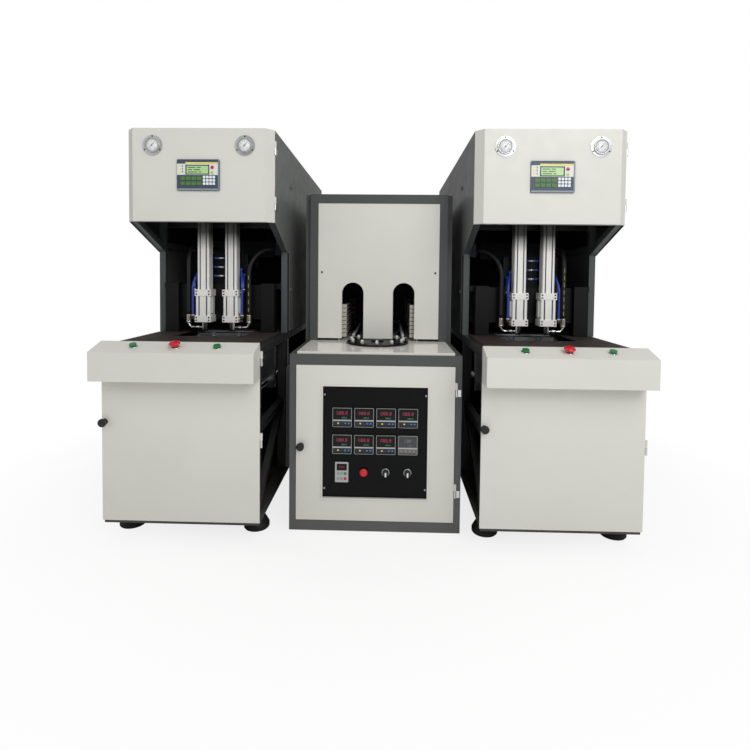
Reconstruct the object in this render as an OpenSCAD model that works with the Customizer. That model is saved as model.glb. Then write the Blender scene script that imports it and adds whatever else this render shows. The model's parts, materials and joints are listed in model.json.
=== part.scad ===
// Semi-automatic line that blows bottles from heated preforms.
// Two blowing stations stand left and right of one preform heater.
// Millimetres. X runs along the line, the operator stands at -Y, Z is up.
// The origin is on the floor, in the middle of the line's outline.

/* [Layout] */
// Distance between the middles of the two blowing stations
station_pitch = 1544; // [1520:2:1700]
// How far the heater stands to the right of the middle
heater_offset = 18; // [0:1:20]

/* [Station body] */
// Width of a blowing station
station_w = 660; // [640:2:700]
// Depth of a station from its front door to its back
station_d = 1787; // [1720:1:1900]
// Height of a station
station_h = 1745; // [1720:1:1900]
// Thickness of the folded sheet of the housings
sheet = 3; // [2:0.5:4]
// Side of the square tube of the base frame
base_tube = 40; // [30:1:45]
// Side of the square tube of the upper frame
post_tube = 30; // [25:1:35]
// Height of the top of the base frame
rail_z = 812; // [805:1:820]
// Height of the underside of the base frame
base_z = 75; // [65:1:95]
// Distance from the door to the front face of the tall posts
post_y = 530; // [515:1:545]
// Distance from the door to the seam between the two upper side panels
panel_seam_y = 1110; // [1000:1:1250]
// Thickness of the bed plate
bed_t = 4; // [3:0.5:5]

/* [Station head] */
// Distance from the door to the front face of the head
head_setback = 201; // [190:1:215]
// Height of the underside of the head
head_z = 1337; // [1310:1:1360]
// Size of the head cover's slanted corners
head_chamfer = 36; // [25:1:45]
// Diameter of a pressure gauge's flange
gauge_d = 89; // [70:1:100]
// Distance of a gauge from the head's middle
gauge_x = 205; // [190:1:220]
// Distance from the station's top down to the middle of the gauges
gauge_drop = 76; // [60:1:95]
// Width of the operating panel
hmi_w = 188; // [160:1:200]
// Height of the operating panel
hmi_h = 136; // [110:1:150]

/* [Door and console] */
// How far the station stands out on each side of its door and console
door_inset = 5; // [3:1:20]
// Height of the door's lower edge
door_z = 88; // [80:1:110]
// How far the console stands out from the door
console_out = 97; // [80:1:110]
// Height of the console's underside
console_z = 682; // [660:1:700]
// Height of the console's front face
console_face = 115; // [100:1:125]
// Rise of the console's sloping top
console_rise = 32; // [20:1:36]
// Distance of a start button from the middle
start_x = 168; // [150:1:190]
// Travel of a start button
start_travel = 4; // [3:0.5:5]
// Diameter of the emergency stop's mushroom head
mushroom_d = 44; // [40:1:60]
// Travel of the emergency stop
mushroom_travel = 5; // [4:0.5:6]

/* [Blowing gear] */
// Distance between the two blowing heads
cavity_pitch = 136; // [126:1:146]
// Side of the square end caps of a sealing cylinder
cap_w = 80; // [70:1:84]
// Length of a sealing cylinder
seal_len = 160; // [140:1:180]
// Height of one end cap
cap_h = 32; // [24:1:36]
// Width of a stretching cylinder's profile
stretch_w = 58; // [50:1:60]
// Length of a stretching cylinder
stretch_len = 390; // [370:1:400]
// Length of a blowing nozzle
nozzle_len = 46; // [40:1:50]
// Diameter of a blowing nozzle
nozzle_d = 32; // [28:1:36]
// Height of the nozzles above the bed at rest
nozzle_gap = 8; // [6:1:12]
// Diameter of a stretching rod
stretch_rod_d = 14; // [10:1:16]
// Diameter of the hoses that bring the blowing air
hose_d = 20; // [16:1:22]
// Diameter of the control air tubes
tube_d = 10; // [8:1:12]

/* [Moulds and clamp] */
// Distance from the door to the mould's parting plane
mould_y = 465; // [455:1:468]
// Travel of each mould half
mould_travel = 110; // [95:1:112]
// Width of the mould
mould_w = 290; // [284:1:300]
// Height of the mould
mould_h = 280; // [275:1:285]
// Thickness of one mould half
mould_t = 80; // [70:1:82]
// Distance from the top of the mould up to the bed plate
mould_drop = 12; // [11:1:14]
// Diameter of the bottle
bottle_d = 90; // [80:1:100]
// Height of the bottle below the neck
bottle_h = 245; // [235:1:250]
// Diameter of the bottle's neck
neck_d = 28; // [24:1:34]
// Thickness of a platen
platen_t = 40; // [30:1:42]
// Diameter of a guide rod
guide_d = 36; // [30:1:38]
// Distance of a guide rod from the middle
guide_x = 200; // [198:1:205]
// Diameter of a pull rod
pull_d = 24; // [18:1:26]
// Bore of the clamp cylinder's barrel
ram_d = 50; // [40:1:60]
// Outer diameter of the clamp cylinder
barrel_d = 150; // [130:1:170]

/* [Heater body] */
// Width of the heater
heater_w = 738; // [720:2:744]
// Distance from the stations' door plane back to the heater's front
heater_setback = 127; // [115:1:140]
// Depth of the heater
heater_d = 1523; // [1480:1:1600]
// Height of the lower cabinet
heater_low_h = 767; // [755:1:775]
// Height of the heater
heater_h = 1512; // [1480:1:1560]
// Depth of the open shelf in front of the hood
shelf_d = 390; // [380:1:400]
// Width of the hood's front frame
hood_w = 688; // [670:2:700]
// Width of the hood's front panel
hood_panel_w = 608; // [590:2:630]
// Width of an arch in the hood's front panel
arch_w = 108; // [100:1:112]
// Distance of an arch from the middle
arch_x = 128; // [124:1:132]
// Height of the arches above the shelf
arch_h = 294; // [270:1:320]
// Width of the wheel's rim outside its preform holders
wheel_rim = 22; // [18:1:24]
// Number of preform holders on the wheel
holders = 11; // [9:1:12]

/* [Heater door] */
// Width of the heater's door
heater_door_w = 680; // [640:2:684]
// Height of the heater's door
heater_door_h = 674; // [640:1:680]
// Height of the heater door's lower edge
heater_door_z = 46; // [40:1:60]
// Width of the control panel
control_w = 450; // [430:1:470]
// Height of the control panel
control_h = 485; // [470:1:500]
// Height of the control panel's lower edge
control_z = 145; // [135:1:155]
// Side of a temperature regulator
regulator_w = 83; // [72:1:86]
// Distance between the columns of regulators
column_pitch = 94.5; // [92:0.5:96]
// Distance between the rows of regulators
row_pitch = 117; // [112:1:120]

/* [Feet and small parts] */
// Diameter of a levelling foot
foot_d = 110; // [90:1:130]
// Height of a levelling foot's pad
foot_h = 52; // [40:1:58]
// Radius of a hinge knuckle
knuckle_r = 5; // [4:0.5:5]
// Length of a hinge
hinge_len = 60; // [50:1:70]
// Diameter of a door knob
knob_d = 34; // [28:1:40]

/* [Hidden] */
$fn = 48;

// Clearances
seam = 1.5;
slide_fit = 0.3;
joint_gap = 1;
joint_swell = 0.4;
press_gap = 0.05;
door_gap = 2;
panel_gap = 0.4;

// Layout
total_d = console_out + station_d;
front_y = console_out - total_d / 2;

// Base frame
frame_x = station_w / 2 - 10;
frame_front = 6;
frame_back = station_d - sheet;
leg_in = frame_x - base_tube;
waist_z = 440;
waist_h = 32;
foot_y = 150;
foot_rear_y = station_d - 180;
foot_x = (station_w - foot_d) / 2;
guard_t = 18;
guard_y = 362;
guard_back = station_d - 287;
guard_z = base_z + 108;
guard_top = rail_z - 147;

// Upper frame
upper_x = station_w / 2 - sheet;
upper_top = station_h - sheet;
head_rear = head_setback + head_chamfer;
head_frame_y = head_rear + 4;
cheek_back = post_y + post_tube + 15;
head_h = station_h - head_z;
hmi_z = head_z + head_h / 2 - 2;
gauge_z = station_h - gauge_drop;
brace_drop = 122;

// Bed
bed_x = upper_x - post_tube - 2;
bed_top = rail_z + bed_t;
bed_hole_x = mould_w / 2 + 15;
bed_hole_y = 165;

// Moulds, measured at rest with the clamp open
mould_top = rail_z - mould_drop;
mould_base = mould_top - mould_h;
water_y = 20;
face_y = mould_travel + slide_fit;
platen_x = guide_x + 35;
platen_top = rail_z - 7;
platen_base = mould_base - 20;
guide_low = mould_base + 25;
guide_high = mould_top - 35;
ram_z = (guide_low + guide_high) / 2;
front_plate_y = 60;
plate_t = 30;
rear_plate_y = 1000;
pull_x = (mould_w / 2 + guide_x - guide_d / 2) / 2;
yoke_y = 1150;
yoke_t = 30;
barrel_len = 300;
ram_clear = 20;

// Blowing gear
nozzle_z = bed_top + nozzle_gap;
seal_z = nozzle_z + nozzle_len;
seal_top = seal_z + seal_len;
stretch_top = seal_top + stretch_len;
piston_r = 13;
rod_bore = stretch_rod_d / 2 + 1;
rod_tip = nozzle_z + 4;
rod_stop = 12;
stretch_travel = rod_tip - (mould_top - bottle_h) - rod_stop;
rod_guide = 95;
elbow_x = cavity_pitch / 2 + 82;
elbow_r = 20;
elbow_z = nozzle_z + 18;
ferrule_len = 44;
hose_z = elbow_z + elbow_r + ferrule_len;
hose_top = 1160;
hose_bend = 90;
lean_z = 1107;
lean_end = 12;
lean_turn = 50;
block_t = 30;
block_x = upper_x - post_tube - block_t;
nipple_len = 9;
lean_reach = (block_x - elbow_x) / sin(lean_turn);
lean_bend = lean_reach - nipple_len - lean_end;
block_y = mould_y + lean_reach * cos(lean_turn);
block_z = lean_z + lean_bend;
manifold_y = 830;
manifold_t = 60;
manifold_z = hose_top + hose_bend;
manifold_h = 90;
manifold_x = elbow_x + 40;
fitting_len = 14;
valve_z = seal_top + 24;
valve_h = 150;
tube_bend = 110;
tube_kinks = 3;
ball_turn = 30;
tube_lean = 40;
lean_start = seal_top + 10;
plug_len = 12;
valve_x = cavity_pitch / 2 + cap_w / 2 + fitting_len + 12;
valve_t = 50;

// Columns behind the sealing cylinders
column_w = 66;
column_x = station_w / 2 - 90;
column_y = 475;
column_h = 245;
bridge_t = 14;
bridge_y = mould_y + cap_w / 2;
bridge_z = seal_z + 10;
tie_bar_z = bed_top + column_h - 28;

// Door and console
door_w = station_w - 2 * door_inset;
face_z = console_z + console_face;
slope = atan(console_rise / console_out);
start_r = 14;
stem_r = 10;
button_hole_r = stem_r + panel_gap;
knob_stem_r = 5;
knob_back = frame_front - 1;
hinge_x = station_w / 2 + 1;
door_hinge_y = 3;
fold = frame_front - 1;
door_hinge_zs = [430, 765];
door_knob_z = 497;
door_knob_x = door_w / 2 - 12;
head_hinge_y = head_rear + 1;
head_hinge_zs = [head_z + 0.21 * head_h, head_z + 0.81 * head_h];
pin_r = 2;
leaf_w = 32;
leaf_t = 2;
half_seam = 0.5;
lock_r = 10;
lock_y = cheek_back + 28;
lock_out = hinge_x + knuckle_r - station_w / 2;
lock_z = 1028;
high_lock_z = station_h - 185;

// Operating panel, from its middle
panel_t = 7;
screen_x = -3;
screen_z = hmi_h / 2 - 45;
screen_w = hmi_w - 82;
screen_h = 42;
key_x = -hmi_w / 2 + 27.4;
key_z = -15;
key_w = 20;
key_h = 15;
key_pitch = 24;
key_drop = 22;
digit_x = hmi_w / 2 - 66.5;
digit_z = -9.4;
digit_w = 10.5;
digit_pitch = 14.2;

// Heater
heater_front = front_y + heater_setback;
shelf_t = 10;
shelf_top = heater_low_h + shelf_t;
border = (heater_w - heater_door_w) / 2 - door_gap;
hood_y = shelf_d;
hood_front_t = 20;
cover_back = 25;
hood_rim = 45;
hood_panel_top = heater_h - hood_rim;
wheel_r = arch_x + wheel_rim;
wheel_y = shelf_d - wheel_r / 2;
wheel_z = shelf_top + 2;
wheel_t = 7;
rear_wheel_y = heater_d - wheel_r - 60;
hood_panel_low = wheel_z + wheel_t + 3;
peg_r = 7;
peg_h = 12;
chain_t = 8;
lamp_count = 8;
lamp_pitch = 21;
lamp_x = arch_x + 42;
lamp_low = 26;
lamp_z = shelf_top + lamp_low;
lamp_y = shelf_d + 40;
lamp_len = 700;
reflector_x = lamp_x + 26;
inner_reflector_x = arch_x - arch_w / 2 - 12;
reflector_h = lamp_count * lamp_pitch + 30;
reflector_len = lamp_len + 40;
reflector_y = lamp_y - 20;
reflector_lift = 45;
vent_half = 60;
hub_r = 30;
shaft_r = 15;

// Heater door
heater_hinge_x = heater_door_w / 2 + 6;
heater_hinge_y = -knuckle_r;
heater_knob_x = heater_door_w / 2 - 21;
heater_knob_z = 370;
heater_hinge_zs = [186, 623];
door_depth = 18;
control_depth = 8;
regulator_z = control_z + 350;
instrument_z = control_z + 112;
inverter_w = 58;
inverter_h = 89;
instrument_depth = 70;
case_in = 6;
switch_r = 14;
stop_r = 17;

module station(side) {
    translate([side * station_pitch / 2, front_y, 0])
        children();
}

module both_stations() {
    for (side = [-1, 1])
        station(side)
            children();
}

module heater() {
    translate([heater_offset, heater_front, 0])
        children();
}

module both_sides() {
    children();
    mirror([1, 0, 0])
        children();
}

// A bar between two corners
module bar(a, b) {
    translate(a)
        cube([for (i = [0:2]) b[i] - a[i]]);
}

// A round rod along Y that starts at the given place
module rod_y(x, y, z, r, len) {
    translate([x, y, z])
        rotate([-90, 0, 0])
            cylinder(r = r, h = len);
}

module rod_x(x, y, z, r, len) {
    translate([x, y, z])
        rotate([0, 90, 0])
            cylinder(r = r, h = len);
}

module round_plate(w, h, r, t) {
    linear_extrude(t)
        rounded(w, h, r);
}

// A rectangle with round corners about its middle
module rounded(w, h, r) {
    square([w - 2 * r, h], center = true);
    square([w, h - 2 * r], center = true);
    for (x = [-1, 1], y = [-1, 1])
        translate([x * (w / 2 - r), y * (h / 2 - r)])
            circle(r);
}

module base_frame() {
    color([0.2, 0.2, 0.21]) {
        both_sides() {
            for (y = [frame_front, post_y, frame_back - base_tube])
                bar([leg_in, y, base_z], [frame_x, y + base_tube, rail_z]);
            for (z = [base_z, rail_z - base_tube])
                bar([leg_in, frame_front, z], [frame_x, frame_back, z + base_tube]);
            bar([leg_in, frame_front, waist_z], [leg_in + waist_h, frame_back, waist_z + waist_h]);
            base_brace();
        }
        for (y = [frame_front, post_y, frame_back - base_tube])
            bar([-frame_x, y, base_z], [frame_x, y + base_tube, base_z + base_tube]);
        bar([-frame_x, frame_front, rail_z - base_tube], [frame_x, frame_front + base_tube, rail_z]);
        bar([-frame_x, frame_back - base_tube, rail_z - base_tube], [frame_x, frame_back, rail_z]);
        for (y = [front_plate_y, rear_plate_y])
            bar([-frame_x, y, platen_base - base_tube], [frame_x, y + plate_t, platen_base]);
        bar([-leg_in - 2, frame_front + 2, base_z + 1], [leg_in + 2, frame_back - 2, base_z + 1 + sheet]);
    }
}

// Diagonal in the lower part of a side, from the front leg up to the waist rail
module base_brace() {
    rise = waist_z - base_z - base_tube;
    run = post_y - frame_front - base_tube;
    difference() {
        translate([leg_in + 2, frame_front + base_tube, base_z + base_tube])
            rotate([atan(rise / run), 0, 0])
                translate([0, -base_tube, -15])
                    cube([waist_h - 4, norm([run, rise]) + 2 * base_tube, 30]);
        bar([0, -station_w, 0], [station_w, frame_front + 6, rail_z]);
        bar([0, -station_w, 0], [station_w, station_d, base_z + 6]);
        bar([0, post_y + base_tube - 7, 0], [station_w, station_d, rail_z]);
        bar([0, -station_w, waist_z + waist_h - 8], [station_w, station_d, rail_z]);
    }
}

module upper_frame() {
    color([0.22, 0.22, 0.23]) {
        both_sides() {
            bar([upper_x - post_tube, post_y, rail_z], [upper_x, post_y + post_tube, upper_top]);
            bar([upper_x - post_tube, frame_back - post_tube, rail_z], [upper_x, frame_back, upper_top]);
            bar([upper_x - post_tube, head_frame_y, head_z + sheet],
                [upper_x, head_frame_y + post_tube, upper_top]);
            bar([upper_x - post_tube, head_frame_y, upper_top - post_tube],
                [upper_x, frame_back, upper_top]);
            bar([upper_x - post_tube, panel_seam_y - post_tube / 2, rail_z],
                [upper_x, panel_seam_y + post_tube / 2, upper_top]);
            head_brace();
        }
        for (y = [head_frame_y, post_y, frame_back - post_tube])
            bar([-upper_x, y, upper_top - post_tube], [upper_x, y + post_tube, upper_top]);
        for (y = [head_frame_y, post_y])
            bar([-upper_x, y, head_z + sheet], [upper_x, y + post_tube, head_z + sheet + post_tube]);
        bar([-upper_x, manifold_y + manifold_t, manifold_z - post_tube / 2],
            [upper_x, manifold_y + manifold_t + post_tube, manifold_z + post_tube / 2]);
        both_sides()
            bar([upper_x - post_tube, post_y, manifold_z - post_tube / 2],
                [upper_x, panel_seam_y, manifold_z + post_tube / 2]);
    }
}

// Slanted stay under the head, from its lower front edge back to the post
module head_brace() {
    run = post_y - head_frame_y;
    angle = atan(brace_drop / run);
    difference() {
        translate([upper_x - post_tube + 1, head_frame_y, head_z + sheet + 1])
            rotate([-angle, 0, 0])
                cube([post_tube - 2, run / cos(angle) + post_tube, post_tube - 2]);
        bar([0, post_y + post_tube - 5, 0], [station_w, station_d, station_h]);
        bar([0, 0, 0], [station_w, head_frame_y + 2, station_h]);
    }
}

module cabinet_skin() {
    color([0.3, 0.3, 0.31]) {
        bar([-station_w / 2, head_rear + seam, upper_top], [station_w / 2, station_d, station_h]);
        difference() {
            bar([-station_w / 2, frame_back, door_z], [station_w / 2, station_d, upper_top]);
            back_slots(head_z);
            back_slots(rail_z - 330);
        }
    }
}

// Rows of ventilation slots in the back
module back_slots(z) {
    for (x = [-1, 1], i = [0:5])
        translate([x * station_w / 4 - 60, frame_back - 1, z + i * 26])
            cube([120, sheet + 2, 8]);
}

// The slanted cheek beside the head
module cheek() {
    difference() {
        sheet_yz(upper_x, [
            [head_rear + seam, head_z],
            [head_rear + seam, upper_top],
            [cheek_back - seam, upper_top],
            [cheek_back - seam, head_z - brace_drop],
            [post_y, head_z - brace_drop]
        ]);
        for (z = head_hinge_zs)
            bar([upper_x - 1, head_rear, z - hinge_len / 2 - 1],
                [station_w / 2 + 1, head_hinge_y + knuckle_r + 1, z + hinge_len / 2 + 1]);
    }
}

// A flat sheet in the YZ plane whose inner face is at x
module sheet_yz(x, outline) {
    translate([x, 0, 0])
        rotate([90, 0, 90])
            linear_extrude(sheet)
                polygon(outline);
}

module side_panel_set(side) {
    color([0.33, 0.33, 0.34]) {
        both_sides() {
            cheek();
            bar([upper_x, cheek_back, rail_z + seam], [station_w / 2, panel_seam_y - seam / 2, upper_top]);
            bar([upper_x, panel_seam_y + seam / 2, rail_z + seam], [station_w / 2, frame_back, upper_top]);
            for (z = [lock_z, high_lock_z])
                rod_x(station_w / 2, lock_y, z, lock_r, lock_out);
        }
        lower_outer_panel(side);
    }
    if (side < 0)
        lower_guard();
}

// Closes the outer side of the base
module lower_outer_panel(side) {
    on_side(side)
        difference() {
            bar([frame_x, frame_front, door_z], [frame_x + sheet, frame_back, rail_z - 4]);
            for (z = door_hinge_zs)
                bar([frame_x - 1, frame_front - 1, z - hinge_len / 2 - 1],
                    [frame_x + sheet + 1, frame_front + leaf_w + 1, z]);
        }
}

// A folded cover that stands off the inner side of the base on two spacers
module lower_guard() {
    x = frame_x + 38;
    outer = x + guard_t;
    color([0.36, 0.36, 0.37]) {
        difference() {
            bar([x, guard_y, guard_z], [outer, guard_back, guard_top]);
            bar([x - 1, guard_y + sheet, guard_z + sheet],
                [outer - sheet, guard_back - sheet, guard_top - sheet]);
        }
        for (y = [post_y + 3 * base_tube, guard_back - 3 * base_tube])
            bar([leg_in + waist_h, y, waist_z + 8], [outer - sheet + 1, y + 24, waist_z + 24]);
    }
}

module head_cover() {
    color([0.84, 0.83, 0.79])
        difference() {
            union() {
                translate([0, 0, head_z])
                    linear_extrude(station_h - head_z)
                        difference() {
                            head_outline(0);
                            head_outline(sheet);
                        }
                for (z = [head_z, station_h - sheet])
                    translate([0, 0, z])
                        linear_extrude(sheet)
                            head_outline(0);
                for (z = head_hinge_zs)
                    translate([hinge_x, head_hinge_y, z])
                        cylinder(r = knuckle_r, h = hinge_len / 2 - half_seam);
            }
            for (z = head_hinge_zs) {
                translate([hinge_x, head_hinge_y, z - hinge_len / 2 - 1])
                    cylinder(r = knuckle_r + 0.5, h = hinge_len / 2 + 1);
                translate([hinge_x, head_hinge_y, z - 1])
                    cylinder(r = pin_r + slide_fit, h = hinge_len);
            }
            translate([0, head_setback - 1, gauge_z])
                rod_hole(gauge_x, 36);
            translate([0, head_setback - 1, gauge_z])
                rod_hole(-gauge_x, 36);
            bar([-hmi_w / 2 + 8, head_setback - 1, hmi_z - hmi_h / 2 + 8],
                [hmi_w / 2 - 8, head_setback + sheet + 1, hmi_z + hmi_h / 2 - 8]);
        }
}
module rod_hole(x, r) {
    rod_y(x, 0, 0, r, sheet + 2);
}

// Plan of the head cover, drawn smaller by an inset
module head_outline(inset) {
    hw = station_w / 2 - inset;
    corner = head_chamfer - inset * 0.41;
    polygon([
        [-hw, head_rear + (inset > 0 ? 1 : 0)],
        [-hw, head_rear - 0.01],
        [-hw + corner, head_setback + inset],
        [hw - corner, head_setback + inset],
        [hw, head_rear - 0.01],
        [hw, head_rear + (inset > 0 ? 1 : 0)]
    ]);
}

module pressure_gauges() {
    color([0.85, 0.86, 0.86])
        for (x = [-1, 1])
            translate([x * gauge_x, head_setback, gauge_z])
                rotate([90, 0, 0])
                    gauge();
}

// One gauge: flange, dial rim and the body behind the panel
module gauge() {
    difference() {
        union() {
            rotate_extrude()
                polygon([
                    [0, -50], [32, -50], [34, -48], [34, 0], [gauge_d / 2, 0], [gauge_d / 2, 2.5],
                    [34, 3.5], [34, 8], [32, 10], [30, 10], [29, 6], [0, 6]
                ]);
            cylinder(r = 3, h = 8);
        }
        for (a = [90, 210, 330])
            rotate([0, 0, a])
                translate([39.5, 0, -1])
                    cylinder(r = 2, h = 6, $fn = 24);
    }
    rotate([0, 0, 225])
        translate([-7, -0.9, 6])
            cube([30, 1.8, 1.2]);
}

module operating_panel() {
    color([0.25, 0.33, 0.36])
        translate([0, head_setback, hmi_z])
            rotate([90, 0, 0]) {
                difference() {
                    round_plate(hmi_w, hmi_h, 5, panel_t);
                    translate([screen_x - screen_w / 2, screen_z - screen_h / 2, panel_t - 1.5])
                        cube([screen_w, screen_h, 4]);
                }
                translate([0, 0, -38])
                    linear_extrude(38)
                        square([hmi_w - 17, hmi_h - 17], center = true);
                for (c = [0:3], r = [0:1])
                    key(key_x + c * key_pitch, key_z - r * key_drop, key_w, key_h);
                for (c = [0:3], r = [0:2])
                    key(digit_x + c * digit_pitch, digit_z - r * digit_pitch, digit_w, digit_w);
            }
}

module key(x, y, w, h) {
    translate([x, y, panel_t - 1])
        round_plate(w, h, w / 6, 3, $fn = 16);
}

// The console is folded from the same sheet as the door and hangs on it
module front_door() {
    w = door_w / 2;
    color([0.84, 0.83, 0.79])
        difference() {
            union() {
                bar([-w, 0, door_z], [w, sheet, console_z + sheet]);
                bar([-w, 0, door_z], [w, fold, door_z + sheet]);
                bar([-w, 0, door_z], [-w + sheet, fold, console_z]);
                for (x = [-w, w - 30])
                    bar([x, 0, console_z], [x + 30, sheet, face_z + console_rise - 12]);
                difference() {
                    console_prism(w, 0);
                    console_prism(w - sheet, sheet);
                }
                for (z = door_hinge_zs) {
                    translate([hinge_x, door_hinge_y, z])
                        cylinder(r = knuckle_r, h = hinge_len / 2 - half_seam);
                    bar([w - 30, 1, z], [hinge_x, sheet, z + hinge_len / 2 - half_seam]);
                }
            }
            for (z = door_hinge_zs)
                translate([hinge_x, door_hinge_y, z - 1])
                    cylinder(r = pin_r + slide_fit, h = hinge_len);
            for (x = [-start_x, 0, start_x])
                on_slope(x)
                    translate([0, 0, -20])
                        cylinder(r = button_hole_r, h = 30);
            rod_y(-door_knob_x, -1, door_knob_z, knob_stem_r + panel_gap, sheet + 2);
        }
}

// Section of the console pushed out along X, smaller by an inset
module console_prism(half_w, inset) {
    translate([-half_w, 0, 0])
        rotate([90, 0, 90])
            linear_extrude(2 * half_w)
                polygon([
                    [inset > 0 ? 10 : 0, console_z + inset],
                    [-console_out + inset, console_z + inset],
                    [-console_out + inset, face_z - inset],
                    [inset > 0 ? 10 : 0, face_z + console_rise - inset]
                ]);
}

// Puts a part on the middle line of the sloping top, with Z out of the face
module on_slope(x) {
    translate([x, -console_out / 2, face_z + console_rise / 2])
        rotate([slope, 0, 0])
            children();
}

module door_knob() {
    color([0.08, 0.08, 0.08])
        translate([-door_knob_x, 0, door_knob_z])
            rotate([90, 0, 0])
                knob_turned();
}

// A turned pull knob screwed through the door
module knob_turned() {
    r = knob_d / 2;
    rotate_extrude()
        polygon([
            [0, -knob_back], [knob_stem_r, -knob_back], [knob_stem_r, 0], [r - 4, 0], [r - 6, 5],
            [r - 7, 10], [r - 3, 15], [r, 20], [r, 24], [r - 3, 28], [0, 30]
        ]);
}

module start_button(x) {
    color([0.07, 0.5, 0.2])
        on_slope(x) {
            translate([0, 0, 4 + start_travel])
                cylinder(r = start_r, h = 5);
            translate([0, 0, -24])
                cylinder(r = stem_r, h = 30 + start_travel);
        }
}

module emergency_stop() {
    r = mushroom_d / 2;
    color([0.8, 0.08, 0.1])
        on_slope(0)
            rotate_extrude()
                polygon([
                    [0, -24], [stem_r, -24], [stem_r, 8 + mushroom_travel], [r - 3, 8 + mushroom_travel],
                    [r, 11 + mushroom_travel], [r, 14 + mushroom_travel], [r - 6, 19 + mushroom_travel],
                    [0, 21 + mushroom_travel]
                ]);
}

module bed_plate() {
    color([0.35, 0.29, 0.24])
        difference() {
            bar([-bed_x, frame_front + 10, rail_z], [bed_x, panel_seam_y - post_tube, bed_top]);
            bar([-bed_hole_x, mould_y - bed_hole_y, rail_z - 1],
                [bed_hole_x, mould_y + bed_hole_y, bed_top + 1]);
        }
}

module guide_rod_set() {
    color([0.8, 0.81, 0.82])
        for (x = [-guide_x, guide_x], z = [guide_low, guide_high])
            rod_y(x, front_plate_y, z, guide_d / 2, rear_plate_y + plate_t - front_plate_y);
}

module guide_plate_set() {
    color([0.25, 0.25, 0.26])
        for (y = [front_plate_y, rear_plate_y])
            difference() {
                bar([-platen_x, y, platen_base], [platen_x, y + plate_t, platen_top]);
                rod_y(-guide_x, y - 1, guide_low, guide_d / 2 + press_gap, plate_t + 2);
                rod_y(guide_x, y - 1, guide_low, guide_d / 2 + press_gap, plate_t + 2);
                rod_y(-guide_x, y - 1, guide_high, guide_d / 2 + press_gap, plate_t + 2);
                rod_y(guide_x, y - 1, guide_high, guide_d / 2 + press_gap, plate_t + 2);
                rod_y(0, y - 1, ram_z, ram_d / 2 + 3, plate_t + 2);
                for (x = [-pull_x, pull_x])
                    rod_y(x, y - 1, ram_z, pull_d / 2 + 1, plate_t + 2);
            }
}

module platen(y) {
    difference() {
        bar([-platen_x, y, platen_base], [platen_x, y + platen_t, platen_top]);
        for (x = [-guide_x, guide_x], z = [guide_low, guide_high])
            rod_y(x, y - 1, z, guide_d / 2 + slide_fit, platen_t + 2);
    }
}

// The front platen, its two pull rods, the yoke and the barrel move as one
module clamp_yoke() {
    y = mould_y - face_y - mould_t - platen_t;
    color([0.45, 0.47, 0.5]) {
        platen(y);
        for (x = [-pull_x, pull_x])
            rod_y(x, y + platen_t - 1, ram_z, pull_d / 2, yoke_y - y - platen_t + 2);
        difference() {
            union() {
                bar([-guide_x, yoke_y, ram_z - 90], [guide_x, yoke_y + yoke_t, ram_z + 90]);
                rod_y(0, yoke_y + yoke_t - 1, ram_z, barrel_d / 2, barrel_len + 1);
                bar([-barrel_d / 2 - 4, yoke_y + yoke_t - 1, ram_z - barrel_d / 2 - 4],
                    [barrel_d / 2 + 4, yoke_y + yoke_t + 35, ram_z + barrel_d / 2 + 4]);
            }
            rod_y(0, yoke_y - 1, ram_z, ram_d / 2 + slide_fit, yoke_t + barrel_len - ram_clear);
        }
    }
}

module rear_platen() {
    y = mould_y + face_y + mould_t;
    ram_end = yoke_y + yoke_t + barrel_len - 2 * ram_clear;
    color([0.45, 0.47, 0.5])
        difference() {
            union() {
                platen(y);
                rod_y(0, y + platen_t - 1, ram_z, ram_d / 2, ram_end - y - platen_t);
            }
            for (x = [-pull_x, pull_x])
                rod_y(x, y - 1, ram_z, pull_d / 2 + 1, platen_t + 2);
        }
}

// Half of a mould block with its back at y = 0 and its cavities open towards +Y.
// Guide pin sockets are in the face, clamping grooves in the sides and cooling
// water passages run down from the top.
module mould_half() {
    difference() {
        bar([-mould_w / 2, 0, mould_base], [mould_w / 2, mould_t, mould_top]);
        for (x = [-1, 1])
            translate([x * cavity_pitch / 2, mould_t, mould_top])
                bottle();
        for (x = [-1, 1], z = [mould_base + 18, mould_top - 18])
            rod_y(x * (mould_w / 2 - 12), mould_t - 20, z, 6, 21);
        for (x = [-mould_w / 2 - 1, mould_w / 2 - 9])
            bar([x, 14, mould_base + 60], [x + 10, 26, mould_top - 60]);
        for (x = [-mould_w / 2 + 24, 0, mould_w / 2 - 24])
            translate([x, water_y, mould_base + 40])
                cylinder(r = 5, h = mould_h);
    }
}

// The bottle's outline turned about its axis, hanging from its neck
module bottle() {
    r = bottle_d / 2;
    n = neck_d / 2;
    rotate_extrude()
        polygon([
            [0, 1], [n, 1], [n, -18], [n + 1, -22], [n + 6, -38], [r - 8, -66], [r - 2, -80], [r, -92],
            [r, -bottle_h * 0.52], [r - 3, -bottle_h * 0.56], [r - 3, -bottle_h * 0.62],
            [r, -bottle_h * 0.66],
            [r, -bottle_h + 8], [r - 7, -bottle_h], [14, -bottle_h], [0, -bottle_h + 10]
        ]);
}

module front_mould() {
    color([0.72, 0.73, 0.74])
        translate([0, mould_y - face_y - mould_t, 0])
            mould_half();
}

module rear_mould() {
    color([0.72, 0.73, 0.74])
        translate([0, mould_y + face_y + mould_t, 0])
            mirror([0, 1, 0])
                mould_half();
}

module at_heads() {
    for (x = [-1, 1])
        translate([x * cavity_pitch / 2, mould_y, 0])
            children();
}

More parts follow.
